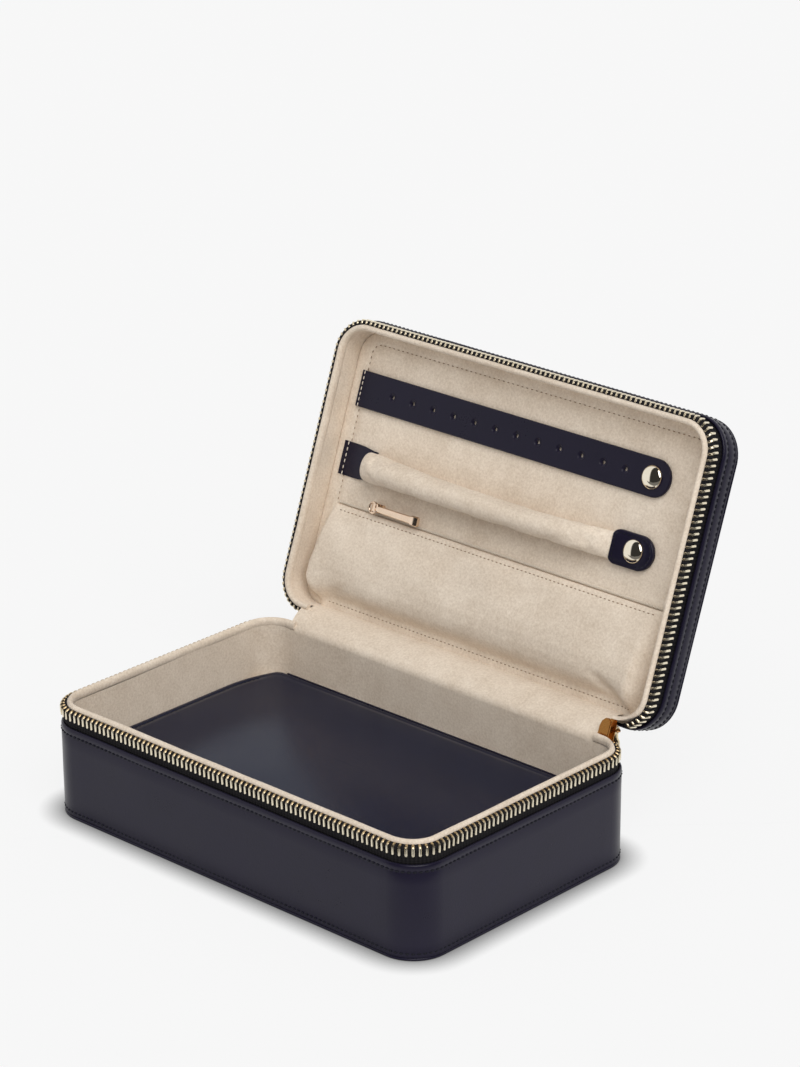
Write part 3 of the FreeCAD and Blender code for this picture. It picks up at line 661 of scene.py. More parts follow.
def leatherShell():
    look = shellLook
    stations = outline()
    tapers = {"base": 0.0, "lid": look["lidTaper"]}
    parts = [
        ("baseWall", look["wall"], still, "base", "base_wall_leather", False),
        ("baseFoot", look["foot"], still, "base", "base_bottom_leather", True),
        ("lidWall", look["lidWall"], opened, "lid", "lid_wall_leather", False),
        ("lidCrown", look["crown"], opened, "lid", "lid_top_leather", True),
    ]
    for name, profile, place, body, solid, filled in parts:
        if filled:
            columns = list(zip(*ringRows(stations, profile, taper=tapers[body])))
            mesh = loft(name, columns, caps=True)
        else:
            rows = ringRows(stations, profile, look["waviness"], len(name), tapers[body])
            mesh = loft(name, rows, wrapRows=True)
        dress(newPiece(name, mesh, leather, place, sharp=60), body, "navy_leather", solid)
    sewn = [
        ("baseStitches", still, "base", [look["rimStitch"], look["footStitch"]]),
        ("lidStitches", opened, "lid", flipped([look["rimStitch"]]) + [look["crownStitch"]]),
    ]
    for name, place, body, seams in sewn:
        lines = [(ringLine(stations, inset, height, tapers[body]), True) for inset, height in seams]
        dress(stitches(name, lines, navyThread, look["stitch"], place), body, "navy_leather")


leatherShell()
print("leather shell done")


# zip: tapes and teeth
zipLook = {
    "tape": [(1.7, 36.6), (1.7, 43.0), (1.7, 48.6), (1.15, 49.3), (1.05, 50.2), (1.3, 50.9), (1.95, 51.3),
             (2.6, 51.6), (2.96, 51.6), (3.0, 50.0), (2.3, 48.6), (2.3, 43.0), (2.3, 36.6)],
    "lean": 1.0,
    "leanFoot": 9.0,
    "leanGain": 2.2,
    "leanInset": 2.9,
    "tapeRight": 99.6,
    "tapeLeft": 88.3,
    "chainInset": 2.0,
    "chainRight": 101.3,
    "chainLeft": 94.0,
    "pitch": 2.7,
    "thickness": 1.12,
    "bevel": 0.26,
    # crown: heights over which the painted shade on a tooth's top grows; hook: per side, how far the top
    # bends and how much of that painted shade it gets
    "crown": (50.3, 51.3),
    "hook": {"base": (0.0, 1.0), "lid": (-1.0, 0.35)},
    "hookRise": (49.1, 51.6),
    "tooth": [(-1.4, 47.1), (-1.5, 50.2), (-1.2, 50.95), (-0.55, 51.5), (0.2, 51.8), (0.7, 51.75),
              (0.92, 51.35), (0.88, 50.5), (0.5, 50.3), (0.36, 50.8), (-0.36, 50.8), (-0.5, 47.1)],
}


def slab(name, points, low, high, bevel, segments=1):
    # an outline in the XZ plane made solid between two Y positions, with its rims taken off
    form = bmesh.new()
    face = form.faces.new([form.verts.new(Vector((x, low, z)) * mm) for x, z in points])
    grown = bmesh.ops.extrude_face_region(form, geom=[face])
    moved = [item for item in grown["geom"] if isinstance(item, bmesh.types.BMVert)]
    bmesh.ops.translate(form, verts=moved, vec=Vector((0, high - low, 0)) * mm)
    bmesh.ops.recalc_face_normals(form, faces=form.faces)
    rims = [edge for edge in form.edges if abs(edge.verts[0].co.y - edge.verts[1].co.y) < 1e-9]
    bmesh.ops.bevel(form, geom=rims, offset=bevel * mm, segments=segments, affect="EDGES")
    mesh = meshOf(name, form)
    shaded(mesh, 40)
    return mesh


def toothObject(look, side):
    half = look["thickness"] / 2
    bend, shade = look["hook"][side]
    mesh = slab("tooth", look["tooth"], -half, half, look["bevel"])
    # the crown mark carries the painted shade, growing from the leg to the top of the tooth
    crown = mesh.attributes.new("crown", "FLOAT", "POINT")
    low, high = look["crown"]
    for mark, vertex in zip(crown.data, mesh.vertices):
        height = vertex.co.z / mm
        mark.value = shade * clamped((height - low) / (high - low))
        vertex.co.y += bend * mm * smooth(height, *look["hookRise"])
    return placed("tooth", mesh)


def trimmed(line, head, tail):
    # the same line with a length taken off each end
    for cut in (head, tail):
        left = cut
        while left > 0:
            step = (Vector(line[1]) - Vector(line[0])).length
            if step <= left:
                line = line[1:]
                left -= step
            else:
                line = [tuple(Vector(line[0]).lerp(Vector(line[1]), left / step))] + line[1:]
                left = 0
        line = line[::-1]
    return line


def leaning(look, stations, profile):
    # the profile along the stations, with its free edge leaning outwards on the left side
    rows = []
    for base, normal in stations:
        lean = look["lean"] * max(0.0, -normal.x)
        row = []
        for inset, height in profile:
            free = 1 - min(1.0, abs(height - caseShape["parting"]) / look["leanFoot"])
            if inset >= look["leanInset"]:
                free = 0.0
            point = base - normal * (inset - lean * min(1.0, look["leanGain"] * free))
            row.append((point.x, point.y, height))
        rows.append(row)
    return rows


def zipHalves():
    look = zipLook
    tapeStations = outline(look["tapeRight"], look["tapeLeft"])
    around = outline(look["chainRight"], look["chainLeft"], cornerSteps=40)
    chain = []
    for base, normal in around:
        chain.append(tuple(base - normal * (look["chainInset"] - look["lean"] * max(0.0, -normal.x))))
    for side, place, profile in (("base", still, look["tape"]), ("lid", opened, flipped(look["tape"]))):
        mesh = loft(side + "Tape", leaning(look, tapeStations, profile), caps=True)
        dress(newPiece(side + "Tape", mesh, tape, place), side, "zip_tape", side + "_zip_tape")
        line = chain
        if side == "lid":
            line = trimmed(chain, look["pitch"] / 2, look["pitch"] / 2)
        tooth = toothObject(look, side)
        host = lineHost(side + "Teeth", [(line, False)])
        grow(host, trees["tooth"], {"Pitch": look["pitch"] * mm, "Tooth": tooth, "Material": paleGold})
        if side == "lid":
            for vertex in host.data.vertices:
                vertex.co.z = 2 * caseShape["parting"] * mm - vertex.co.z
            host.data.flip_normals()
            host.data.transform(opened)
        dress(host, side, "gold_metal", side + "_zip_teeth")
        bpy.data.objects.remove(tooth)


zipHalves()
print("zip done")


# suede walls, rolled rims and the hinge lining
liningLook = {
    "wall": [(4.0, 5.0), (4.0, 50.2), (4.7, 50.6), (5.4, 50.2), (5.4, 30.0), (5.4, 5.0)],
    "lidWall": [(4.0, 68.1), (4.0, 53.8), (4.7, 53.4), (5.4, 53.8), (5.4, 60.0), (5.4, 68.1)],
    "bead": [(3.05, 49.4), (2.98, 51.2), (3.12, 52.3), (3.6, 53.05), (4.3, 53.3), (5.0, 53.0), (5.5, 52.3),
             (5.72, 51.3), (5.6, 50.2), (5.35, 49.2), (4.0, 48.8)],
    "beadFoot": 49.2,
    "beadShut": 0.66,
    "beadInset": 2.98,
    "beadWave": 0.18,
    "beadWaveScale": 0.05,
    "waviness": 0.3,
    "seam": 90.0,
    "lidRight": 93.0,
    "slimInset": 4.15,
    "slimFrom": (84.0, 62.0),
    "slimRun": (10.0, 5.0),
}


def beadRows(stations, profile, look):
    # the rolled rim thins out where the slider parks at the right rear corner
    fromX, fromY = look["slimFrom"]
    runX, runY = look["slimRun"]
    rows = []
    for base, normal in stations:
        near = clamped((base.x - fromX) / runX) * clamped((base.y - fromY) / runY)
        slim = look["beadInset"] + (look["slimInset"] - look["beadInset"]) * near
        spot = Vector((base.x * look["beadWaveScale"], base.y * look["beadWaveScale"], 3.0))
        wave = look["beadWave"] * noise.noise(spot)
        row = []
        for inset, height in profile:
            point = base - normal * (max(inset, slim) + wave * 0.5)
            row.append((point.x, point.y, height + wave))
        rows.append(row)
    return rows


def linings():
    look = liningLook
    parts = [
        ("base", still, look["wall"], look["bead"], look["seam"], "base_lining"),
        ("lid", opened, look["lidWall"], flipped(look["bead"]), look["lidRight"], "lid_lining"),
    ]
    for side, place, wall, bead, right, solid in parts:
        stations = outline(right, look["seam"], cornerSteps=14, straightStep=4.0)
        mesh = loft(side + "Lining", ringRows(stations, wall, look["waviness"], seed=5.0), caps=True)
        dress(newPiece(side + "Lining", mesh, suede, place), side, "cream_suede", solid)
        mesh = loft(side + "Rim", beadRows(stations, bead, look), caps=True)
        rim = dress(newPiece(side + "Rim", mesh, suede, place, sharp=70), side, "cream_suede")
        foot = look["beadFoot"] if side == "base" else 2 * caseShape["parting"] - look["beadFoot"]
        axis = place.to_3x3() @ Vector((0, 0, 1))
        anchor = place @ (Vector((0, 0, foot)) * mm)
        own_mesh(rim)


linings()


hingeLook = {
    "right": 89.9,
    "left": (91.2, 94.5),
    "columns": 48,
    "thickness": 0.4,
    "foot": 5.0,
    "back": 64.6,
    "low": 48.4,
    "radius": 4.5,
    "over": (75.8, 58.9),
    "seat": (64.3, 63.9),
    "wallSteps": 14,
    "bendSteps": 18,
    "webSteps": 12,
    "flareFrom": 20,
    "cornerLift": 1.6,
    "cornerRun": (82.0, 92.0),
    "liftStart": 0.15,
    "sag": 0.35,
    "fadeRows": (12, 6),
}


def arcPath(look):
    # the web's line in the YZ plane: up the back wall, over a bend, then above the lid's edge to its panel
    centre = Vector((look["back"] + look["radius"], look["low"]))
    seat = opened @ (Vector((0, *look["seat"])) * mm) / mm
    over = Vector(look["over"])
    reach = over - centre
    leave = math.atan2(reach.y, reach.x) + math.acos(look["radius"] / reach.length)
    foot = Vector((look["back"], look["foot"]))
    path = spread(foot, Vector((look["back"], look["low"])), look["wallSteps"])
    for k in range(look["bendSteps"] + 1):
        angle = math.pi + (leave - math.pi) * k / look["bendSteps"]
        path.append(centre + look["radius"] * Vector((math.cos(angle), math.sin(angle))))
    bendEnd = path[-1]
    for k in range(1, look["webSteps"] + 1):
        share = k / look["webSteps"]
        first = bendEnd.lerp(over, share)
        path.append(first.lerp(over.lerp(Vector((seat.y, seat.z)), share), share))
    return path


def stripRows(path, lefts, look, thickness, sag=0.0, fadeRows=(1, 1)):
    # a closed band of the given thickness along a path in the YZ plane
    right = look["right"]
    columns = look["columns"]
    rows = []
    run = 0.0
    for k, point in enumerate(path):
        before = path[max(k - 1, 0)]
        run += (point - before).length
        after = path[min(k + 1, len(path) - 1)]
        along = (after - before).normalized()
        side = Vector((along.y, -along.x))
        fade = min(1.0, k / fadeRows[0]) * min(1.0, (len(path) - 1 - k) / fadeRows[1])
        row = []
        for face in (0.0, thickness):
            line = []
            for c in range(columns + 1):
                x = lefts[k] + (right - lefts[k]) * c / columns
                wave = sag * fade * noise.noise(Vector((x * waveScale, run * runScale, 7.0)))
                spot = point + side * (face + wave)
                line.append((x, spot.x, spot.y))
            row += line if face == 0.0 else line[::-1]
        rows.append(row)
    return rows


def bridge(piece, first, last, slot, *solids):
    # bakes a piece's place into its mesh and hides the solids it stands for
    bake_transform(piece)
    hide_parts(*solids)


def hingeLining():
    look = hingeLook
    path = arcPath(look)
    near, far = look["left"]
    last = len(path) - 1
    flare = look["flareFrom"]
    lefts = [-near - (far - near) * max(0.0, (k - flare) / (last - flare)) for k in range(len(path))]
    rows = stripRows(path, lefts, look, look["thickness"], look["sag"], look["fadeRows"])
    bendEnd = look["wallSteps"] + look["bendSteps"]
    for k in range(bendEnd, last):
        share = (k - bendEnd) / (last - bendEnd)
        lift = look["cornerLift"] * math.sin(math.pi * min(1.0, look["liftStart"] + share))
        rows[k] = [(x, y, z + lift * smooth(-x, *look["cornerRun"])) for x, y, z in rows[k]]
    piece = newPiece("hingeLining", loft("hingeLining", rows, caps=True), suede)
    bridge(piece, path[look["wallSteps"]], path[-1], "cream_suede", "base_back_lining", "hinge_web")
    width = look["right"] - sum(lefts) / len(lefts)
    length = sum((second - first).length for first, second in zip(path, path[1:]))
    width * mm
    length * mm


hingeLining()


spineLook = {
    "left": 88.0,
    "right": 87.5,
    "columns": 40,
    "thickness": 0.6,
    "face": 69.9,
    "low": 43.5,
    "gap": 17.0,
    "endSteps": 4,
    "bendSteps": 16,
}


def leatherSpine():
    # the bare leather between the two rims, bent as far as the lid stands open
    look = spineLook
    turn = math.radians(caseShape["openAngle"])
    slope = math.tan(turn / 2)
    offset = caseShape["hingeY"] - look["face"]
    radius = 2 * offset * slope / (2 * slope - turn)
    run = look["gap"] / 2 + offset * slope - radius * slope
    centre = Vector((look["face"] + radius, look["low"] + run))
    ends = look["endSteps"]
    path = [Vector((look["face"], look["low"] + run * k / ends)) for k in range(ends)]
    for k in range(look["bendSteps"] + 1):
        angle = math.pi - turn * k / look["bendSteps"]
        path.append(centre + radius * Vector((math.cos(angle), math.sin(angle))))
    along = Vector((math.sin(turn), math.cos(turn)))
    tip = path[-1]
    path += [tip + along * run * k / ends for k in range(1, ends + 1)]
    rows = stripRows(path, [-look["left"]] * len(path), look, -look["thickness"])
    piece = newPiece("leatherSpine", loft("leatherSpine", rows, caps=True), leather)
    bridge(piece, path[0], path[-1], "navy_leather", "leather_spine")


leatherSpine()
print("linings and hinge done")


def roundedLoop(halfX, halfY, radius, height, cornerSteps=8, sideSteps=(30, 20)):
    # a rectangle with round corners
    signs = ((1, 1), (-1, 1), (-1, -1), (1, -1))
    centres = [Vector((sx * (halfX - radius), sy * (halfY - radius), height)) for sx, sy in signs]
    loop = []
    for quarter, centre in enumerate(centres):
        for k in range(cornerSteps + 1):
            angle = math.radians(90 * quarter + 90 * k / cornerSteps)
            out = radius * Vector((math.cos(angle), math.sin(angle), 0))
            loop.append(centre + out)
        loop += spread(loop[-1], centres[(quarter + 1) % 4] + out, sideSteps[quarter % 2])[1:]
    return loop


flapLook = {
    "side": 105.0,
    "front": -64.0,
    "back": 63.4,
    "corner": 11.0,
    "bendStart": 35.4,
    "bend": 63.56,
    "backNip": 2.5,
    "levels": [(0.5, 1.0, 25.9), (0.0, 1.0, 26.1), (0.0, 1.0, 26.6), (0.35, 1.0, 26.95), (1.2, 1.0, 27.05),
               (2.5, 1.0, 27.0), (3.0, 1.0, 26.78), (3.5, 1.0, 27.0), (5.0, 0.99, 27.06), (5.0, 0.92, 27.1),
               (5.0, 0.8, 27.1), (5.0, 0.62, 27.1), (5.0, 0.4, 27.1), (5.0, 0.15, 27.1)],
    "steps": {"back": 16, "bend": 14, "side": 14, "corner": 8, "front": 16},
    "waviness": 0.5,
    "waveScale": 0.022,
    "fade": (12.0, 6),
    "crown": 1.8,
    "crownInset": 3.0,
    "grooveInset": 2.0,
    "grooveTop": 27.0,
    "grooveEnd": (45.0, 58.0),
    "seam": (3.0, 26.92),
    "seamEnd": 52.0,
    "stitch": (2.5, 1.8, 0.5, 0.4),
}


def flapLoop(look, inset, scale, height):
    # the flap's outline: a straight hinge edge, long bends at the rear corners and round front corners
    side = look["side"] - inset
    back = look["back"] - inset
    front = look["front"] + inset
    bend = look["bend"] - inset
    centreX = look["side"] - look["bend"]
    rise = math.asin((back - look["bendStart"] - look["backNip"] / 2) / bend)
    corner = look["corner"] - inset
    cornerX = side - corner
    cornerY = front + corner
    steps = look["steps"]
    arc = arcOf(centreX, look["bendStart"], bend, 0, math.degrees(rise), 0, steps["bend"])
    turn = arcOf(cornerX, cornerY, corner, 0, 0, -90, steps["corner"])
    nip = Vector((arc[0].x - look["backNip"], back, 0))
    middle = Vector((0, front, 0))
    half = spread(Vector((0, back, 0)), nip, steps["back"]) + [nip] + arc[:-1]
    half += spread(arc[-1], turn[0], steps["side"]) + turn[:-1] + spread(turn[-1], middle, steps["front"])
    half.append(middle)
    other = [Vector((-point.x, point.y, 0)) for point in half[-2:0:-1]]
    return [Vector((point.x * scale, point.y * scale, height)) for point in half + other]


def floorFlap():
    look = flapLook
    fadeInset, fadeGain = look["fade"]
    rows = []
    for inset, scale, height in look["levels"]:
        fade = min(1.0, inset / fadeInset + (1 - scale) * fadeGain)
        groove = max(0.0, look["grooveTop"] - height) if inset > look["grooveInset"] else 0.0
        crown = look["crown"] if inset > look["crownInset"] else 0.0
        row = []
        for point in flapLoop(look, inset, scale, height):
            level = groove * smooth(point.y, *look["grooveEnd"])
            arch = (1 - (point.x / look["side"]) ** 2) * (1 - (point.y / look["front"]) ** 2)
            wave = look["waviness"] * fade * noise.noise(point * look["waveScale"])
            row.append(point + Vector((0, 0, level + wave + crown * max(0.0, arch))))
        rows.append(row)
    piece = newPiece("floorFlap", loft("floorFlap", rows, caps=True), floorLeather, still, sharp=60)
    dress(piece, "floor_flap", "navy_leather", "flap_leather_top")
    inset, height = look["seam"]
    line = [point for point in flapLoop(look, inset, 1.0, height) if point.y < look["seamEnd"]]
    seam = stitches("flapStitches", [(line, False)], navyThread, look["stitch"])
    dress(seam, "floor_flap", "navy_leather")


floorFlap()
print("floor flap done")


# padded panel in the lid; a loop is half width, half depth, corner radius and height
panelLook = {
    "loops": [(105.5, 64.5, 11.5, 67.6), (105.5, 64.5, 11.5, 64.5), (105.1, 64.1, 11.1, 64.12),
              (104.0, 63.2, 10.0, 63.95), (100.5, 61.0, 8.0, 63.85), (98.4, 59.7, 6.0, 63.95),
              (97.7, 59.0, 5.3, 64.3), (97.0, 58.3, 4.6, 63.95), (93.0, 54.0, 4.6, 63.8),
              (80.0, 44.0, 4.6, 63.7), (55.0, 24.0, 4.6, 63.65), (25.0, 8.0, 3.0, 63.65)],
    "waviness": 0.25,
    "seam": (97.7, 59.0, 5.3, 64.12),
    "stitch": (2.8, 1.3, 0.5, 0.42),
}


def lidPanel():
    look = panelLook
    rows = []
    for loop in look["loops"]:
        row = []
        for point in roundedLoop(*loop):
            row.append(point + Vector((0, 0, look["waviness"] * noise.noise(point * waveScale))))
        rows.append(row)
    piece = newPiece("lidPanel", loft("lidPanel", rows, caps=True), suede, opened, sharp=70)
    dress(piece, "lid", "padding", "lid_panel")
    line = roundedLoop(*look["seam"])
    dress(stitches("panelStitches", [(line, True)], brownThread, look["stitch"], opened), "lid", "padding")


lidPanel()
print("lid panel done")


def puffed(mesh, held, look):
    # swells a fabric skin from its sewn points with Blender's cloth, then caps how far it moved
    piece = placed("swelling", mesh)
    group = piece.vertex_groups.new(name="held")
    group.add(held, 1.0, "REPLACE")
    before = [vertex.co.copy() for vertex in mesh.vertices]
    cloth = piece.modifiers.new("cloth", "CLOTH")
    fabric = cloth.settings
    fabric.quality = 6
    fabric.mass = 0.15
    for strain in ("tension", "compression", "shear"):
        setattr(fabric, strain + "_stiffness", look["stretch"])
    fabric.bending_stiffness = look["bend"]
    fabric.shrink_min = fabric.shrink_max = look["shrink"]
    fabric.use_pressure = True
    fabric.uniform_pressure_force = look["pressure"]
    fabric.vertex_group_mass = "held"
    fabric.effector_weights.gravity = 0.0
    cloth.collision_settings.use_collision = False
    cloth.point_cache.frame_end = look["frames"]
    scene = bpy.context.scene
    for step in range(1, look["frames"] + 1):
        scene.frame_set(step)
    applied(piece)
    scene.frame_set(1)
    cap = look["cap"] * mm
    for vertex, start in zip(piece.data.vertices, before):
        move = vertex.co - start
        if move.length > cap:
            vertex.co = start + move.normalized() * cap
    grown = piece.data
    bpy.data.objects.remove(piece)
    return grown


def subdivided(piece):
    rounding = piece.modifiers.new("rounding", "SUBSURF")
    rounding.levels = rounding.render_levels = 1
    return applied(piece)


def tongueLoop(look, inset, height):
    # the outline of a strip with a half-round end about centre and a square or round-cornered one at start
    left = look["start"] + inset
    middle = look["middle"]
    reach = look["half"] - inset
    low = [(left, middle - reach, height)]
    high = [(left, middle + reach, height)]
    if "corner" in look:
        nook = max(look["corner"] - inset, 0.05)
        low = arcOf(left + nook, middle - reach + nook, nook, height, 180, 270, 6)
        high = arcOf(left + nook, middle + reach - nook, nook, height, 90, 180, 6)
    return low + arcOf(look["centre"], middle, reach, height, -90, 90, look["tipSteps"]) + high


def crossSeam(name, look, body):
    # a row of stitches across a strip, where it is sewn to the lid
    x, margin, height = look["sewn"]
    reach = look["half"] - margin
    seam = [(x, look["middle"] - reach, height), (x, look["middle"] + reach, height)]
    dress(stitches(name, [(seam, False)], creamThread, look["stitch"], opened), body, "navy_leather")


# earring strap with its punched holes
strapLook = {
    "start": -99.0,
    "centre": 77.0,
    "middle": -37.5,
    "half": 8.5,
    "levels": [(0.45, 63.4), (0.1, 63.25), (0.0, 62.9), (0.0, 62.3), (0.12, 61.98), (0.45, 61.8)],
    "tipSteps": 20,
    "holes": 12,
    "firstHole": (-77.7, -37.5, 62.0),
    "holePitch": 12.57,
    "holeRadius": 0.9,
    "holeDepth": 8.0,
    "dimple": 3.0,
    "dimpleLift": -2.45,
    "sewn": (-97.3, 1.0, 61.85),
    "stitch": (2.5, 1.9, 0.55, 0.55),
}


def earringStrap():
    look = strapLook
    rows = [tongueLoop(look, inset, height) for inset, height in look["levels"]]
    piece = newPiece("earringStrap", loft("earringStrap", rows, caps=True), leather)
    grow(piece, trees["punch"], {
        "Count": look["holes"],
        "First": Vector(look["firstHole"]) * mm,
        "Step": Vector((look["holePitch"], 0, 0)) * mm,
        "Radius": look["holeRadius"] * mm,
        "Depth": look["holeDepth"] * mm,
        "Dimple": look["dimple"] * mm,
        "Lift": Vector((0, 0, look["dimpleLift"])) * mm,
        "Material": leather,
    })
    piece.data.transform(opened)
    shaded(piece.data, 28)
    dress(piece, "strap", "navy_leather", "earring_strap")
    crossSeam("strapStitches", look, "strap")


earringStrap()


# ring roll, its sewn leather end and its snap tab; a station is x, half width and half height
rollLook = {
    "middle": -4.4,
    "seat": 63.7,
    "stations": [(-81.0, 5.6, 3.8), (-80.4, 6.5, 4.9), (-79.4, 6.9, 5.7), (-77.5, 7.05, 6.3),
                 (-74.0, 7.1, 6.7), (-64.0, 7.0, 6.9), (-40.0, 6.9, 6.9), (-10.0, 6.8, 6.8),
                 (20.0, 6.6, 6.6), (42.0, 6.3, 6.2), (52.0, 6.2, 5.2), (58.0, 6.3, 4.0), (63.0, 6.4, 2.8),
                 (67.0, 6.3, 1.7), (71.0, 6.1, 1.0)],
    "sag": 0.9,
    "around": 28,
    "along": 84,
    "crowding": 1.2,
    "slack": 0.97,
    "heldEnds": (-78.0, 62.0),
    "heldSeat": 61.7,
    "stretch": 12.0,
    "bend": 0.4,
    "shrink": -0.012,
    "pressure": 3.0,
    "frames": 16,
    "cap": 1.2,
}


def seated(name, mesh, seat):
    # a soft suede piece that goes no further back than the panel it lies on
    for vertex in mesh.vertices:
        vertex.co.z = min(vertex.co.z, seat * mm)
    return subdivided(newPiece(name, mesh, suede, opened, sharp=80))


def between(table, x):
    # the row of a table at x, in a straight line between its neighbours
    for first, second in zip(table, table[1:]):
        if x <= second[0]:
            share = max(0.0, (x - first[0]) / (second[0] - first[0]))
            return [a + (b - a) * share for a, b in zip(first[1:], second[1:])]
    return list(table[-1][1:])


def ringRoll():
    look = rollLook
    left = look["stations"][0][0]
    right = look["stations"][-1][0]
    slack = look["slack"]
    rows = []
    for i in range(look["along"] + 1):
        share = (i / look["along"]) ** look["crowding"]
        x = left + (right - left) * share
        half, rise = between(look["stations"], x)
        middle = look["middle"] + look["sag"] * math.sin(math.pi * share)
        row = []
        for k in range(look["around"]):
            angle = 2 * math.pi * k / look["around"]
            y = middle + half * slack * math.cos(angle)
            row.append((x, y, look["seat"] - rise - rise * slack * math.sin(angle)))
        rows.append(row)
    mesh = loft("ringRoll", rows, caps=True)
    outwards(mesh)
    low, high = look["heldEnds"]
    held = []
    for vertex in mesh.vertices:
        x, y, z = vertex.co / mm
        if x < low or x > high or z > look["heldSeat"]:
            held.append(vertex.index)
    mesh = puffed(mesh, held, look)
    piece = seated("ringRoll", mesh, look["seat"])
    dress(piece, "roll", "padding", "ring_roll")


ringRoll()


sewnEndLook = {
    "middle": -4.4,
    "half": 7.9,
    "tipHalf": 6.9,
    "narrowing": (-90.0, -80.0),
    "path": [(-101.0, 63.35), (-98.6, 63.2), (-96.8, 63.05), (-94.0, 62.8), (-91.0, 62.5), (-88.0, 62.25),
             (-85.0, 62.1), (-82.0, 62.05), (-79.6, 62.1)],
    "bow": 60.0,
    "thickness": 1.1,
    "outerSeat": 63.4,
    "innerSeat": 63.7,
    "columns": 18,
    "sewn": (-98.0, 0.9, 62.75),
    "stitch": (2.5, 1.9, 0.55, 0.55),
}


def sewnEnd():
    # leather that is sewn to the lid and runs up to the roll with a slight bow across it
    look = sewnEndLook
    bow = look["bow"]
    rows = []
    for x, crown in look["path"]:
        half = look["half"] + (look["tipHalf"] - look["half"]) * smooth(x, *look["narrowing"])
        outer = []
        inner = []
        for k in range(look["columns"] + 1):
            angle = math.asin(half / bow) * (2 * k / look["columns"] - 1)
            y = bow * math.sin(angle)
            z = crown + bow * (1 - math.cos(angle))
            backY = y * (1 - look["thickness"] / bow)
            backZ = z + look["thickness"] * math.cos(angle)
            outer.append((x, look["middle"] + y, min(z, look["outerSeat"])))
            inner.append((x, look["middle"] + backY, min(backZ, look["innerSeat"])))
        rows.append(outer + inner[::-1])
    piece = newPiece("rollSewnEnd", loft("rollSewnEnd", rows, caps=True), leather, opened, sharp=50)
    dress(piece, "roll", "navy_leather", "roll_sewn_end")
    crossSeam("rollStitches", look, "roll")


sewnEnd()


tabLook = {
    "start": 64.6,
    "centre": 78.5,
    "middle": -4.4,
    "half": 7.8,
    "levels": [(0.5, 63.35), (0.1, 63.2), (0.0, 62.8), (0.0, 61.7), (0.15, 61.35), (0.5, 61.15),
               (1.2, 61.1), (1.5, 61.22), (1.8, 61.1), (4.0, 61.05), (6.5, 61.0)],
    "tipSteps": 24,
    "corner": 2.6,
    "lift": 3.4,
    "liftFrom": (74.0, 9.0),
    "liftShares": (0.4, 0.6),
    "liftFace": (62.8, 1.1),
    "seam": (1.5, 61.1),
    "stitch": (2.2, 1.6, 0.45, 0.4),
}


def liftedLoop(look, inset, height):
    # the tab's outline, raised where the tab rides up on the roll; its back face stays down
    fromX, runX = look["liftFrom"]
    edge, middle = look["liftShares"]
    top, deep = look["liftFace"]
    loop = []
    for x, y, z in tongueLoop(look, inset, height):
        share = clamped((fromX - x) / runX)
        bow = 1.0 - ((y - look["middle"]) / look["half"]) ** 2
        lift = look["lift"] * share * share * (edge + middle * bow) * clamped((top - z) / deep)
        loop.append((x, y, z - lift))
    return loop


def snapTab():
    look = tabLook
    rows = [liftedLoop(look, inset, height) for inset, height in look["levels"]]
    piece = newPiece("snapTab", loft("snapTab", rows, caps=True), leather, opened, sharp=50)
    dress(piece, "roll", "navy_leather", "roll_snap_tab")
    line = liftedLoop(look, *look["seam"])
    seam = stitches("tabStitches", [(line, True)], navyThread, look["stitch"], opened)
    dress(seam, "roll", "navy_leather")


snapTab()


capLook = {
    "profile": [(0.0, 2.05), (1.6, 2.0), (3.2, 1.78), (4.4, 1.36), (5.0, 0.95), (5.3, 0.55), (5.4, 0.2),
                (5.3, 0.02), (0.0, 0.0)],
    "segments": 48,
    "caps": [("strapCap", (75.7, -37.5, 61.8), "strap", "strap_snap_cap"),
             ("rollCap", (75.7, -4.4, 61.1), "roll", "roll_snap_cap")],
}


def turned(name, centre, profile, segments):
    # a profile of (radius, rise) pairs turned about an upright axis, with both its ends on that axis
    x, y, seat = centre
    points = [(x, y, seat - profile[0][1])]
    for radius, rise in profile[1:-1]:
        points += arcOf(x, y, radius, seat - rise, 0, 360, segments)[:-1]
    points.append((x, y, seat - profile[-1][1]))
    last = len(points) - 1
    faces = []
    for k in range(segments):
        j = (k + 1) % segments
        faces.append((0, 1 + k, 1 + j))
        for low in range(1, last - segments, segments):
            high = low + segments
            faces.append((low + k, high + k, high + j, low + j))
        faces.append((last - segments + k, last, last - segments + j))
    mesh = bpy.data.meshes.new(name)
    mesh.from_pydata([Vector(point) * mm for point in points], [], faces)
    return mesh


def snapCaps():
    look = capLook
    for name, centre, body, solid in look["caps"]:
        mesh = turned(name, centre, look["profile"], look["segments"])
        dress(newPiece(name, mesh, capGold, opened, sharp=50), body, "gold_metal", solid)


snapCaps()
print("strap and roll done")


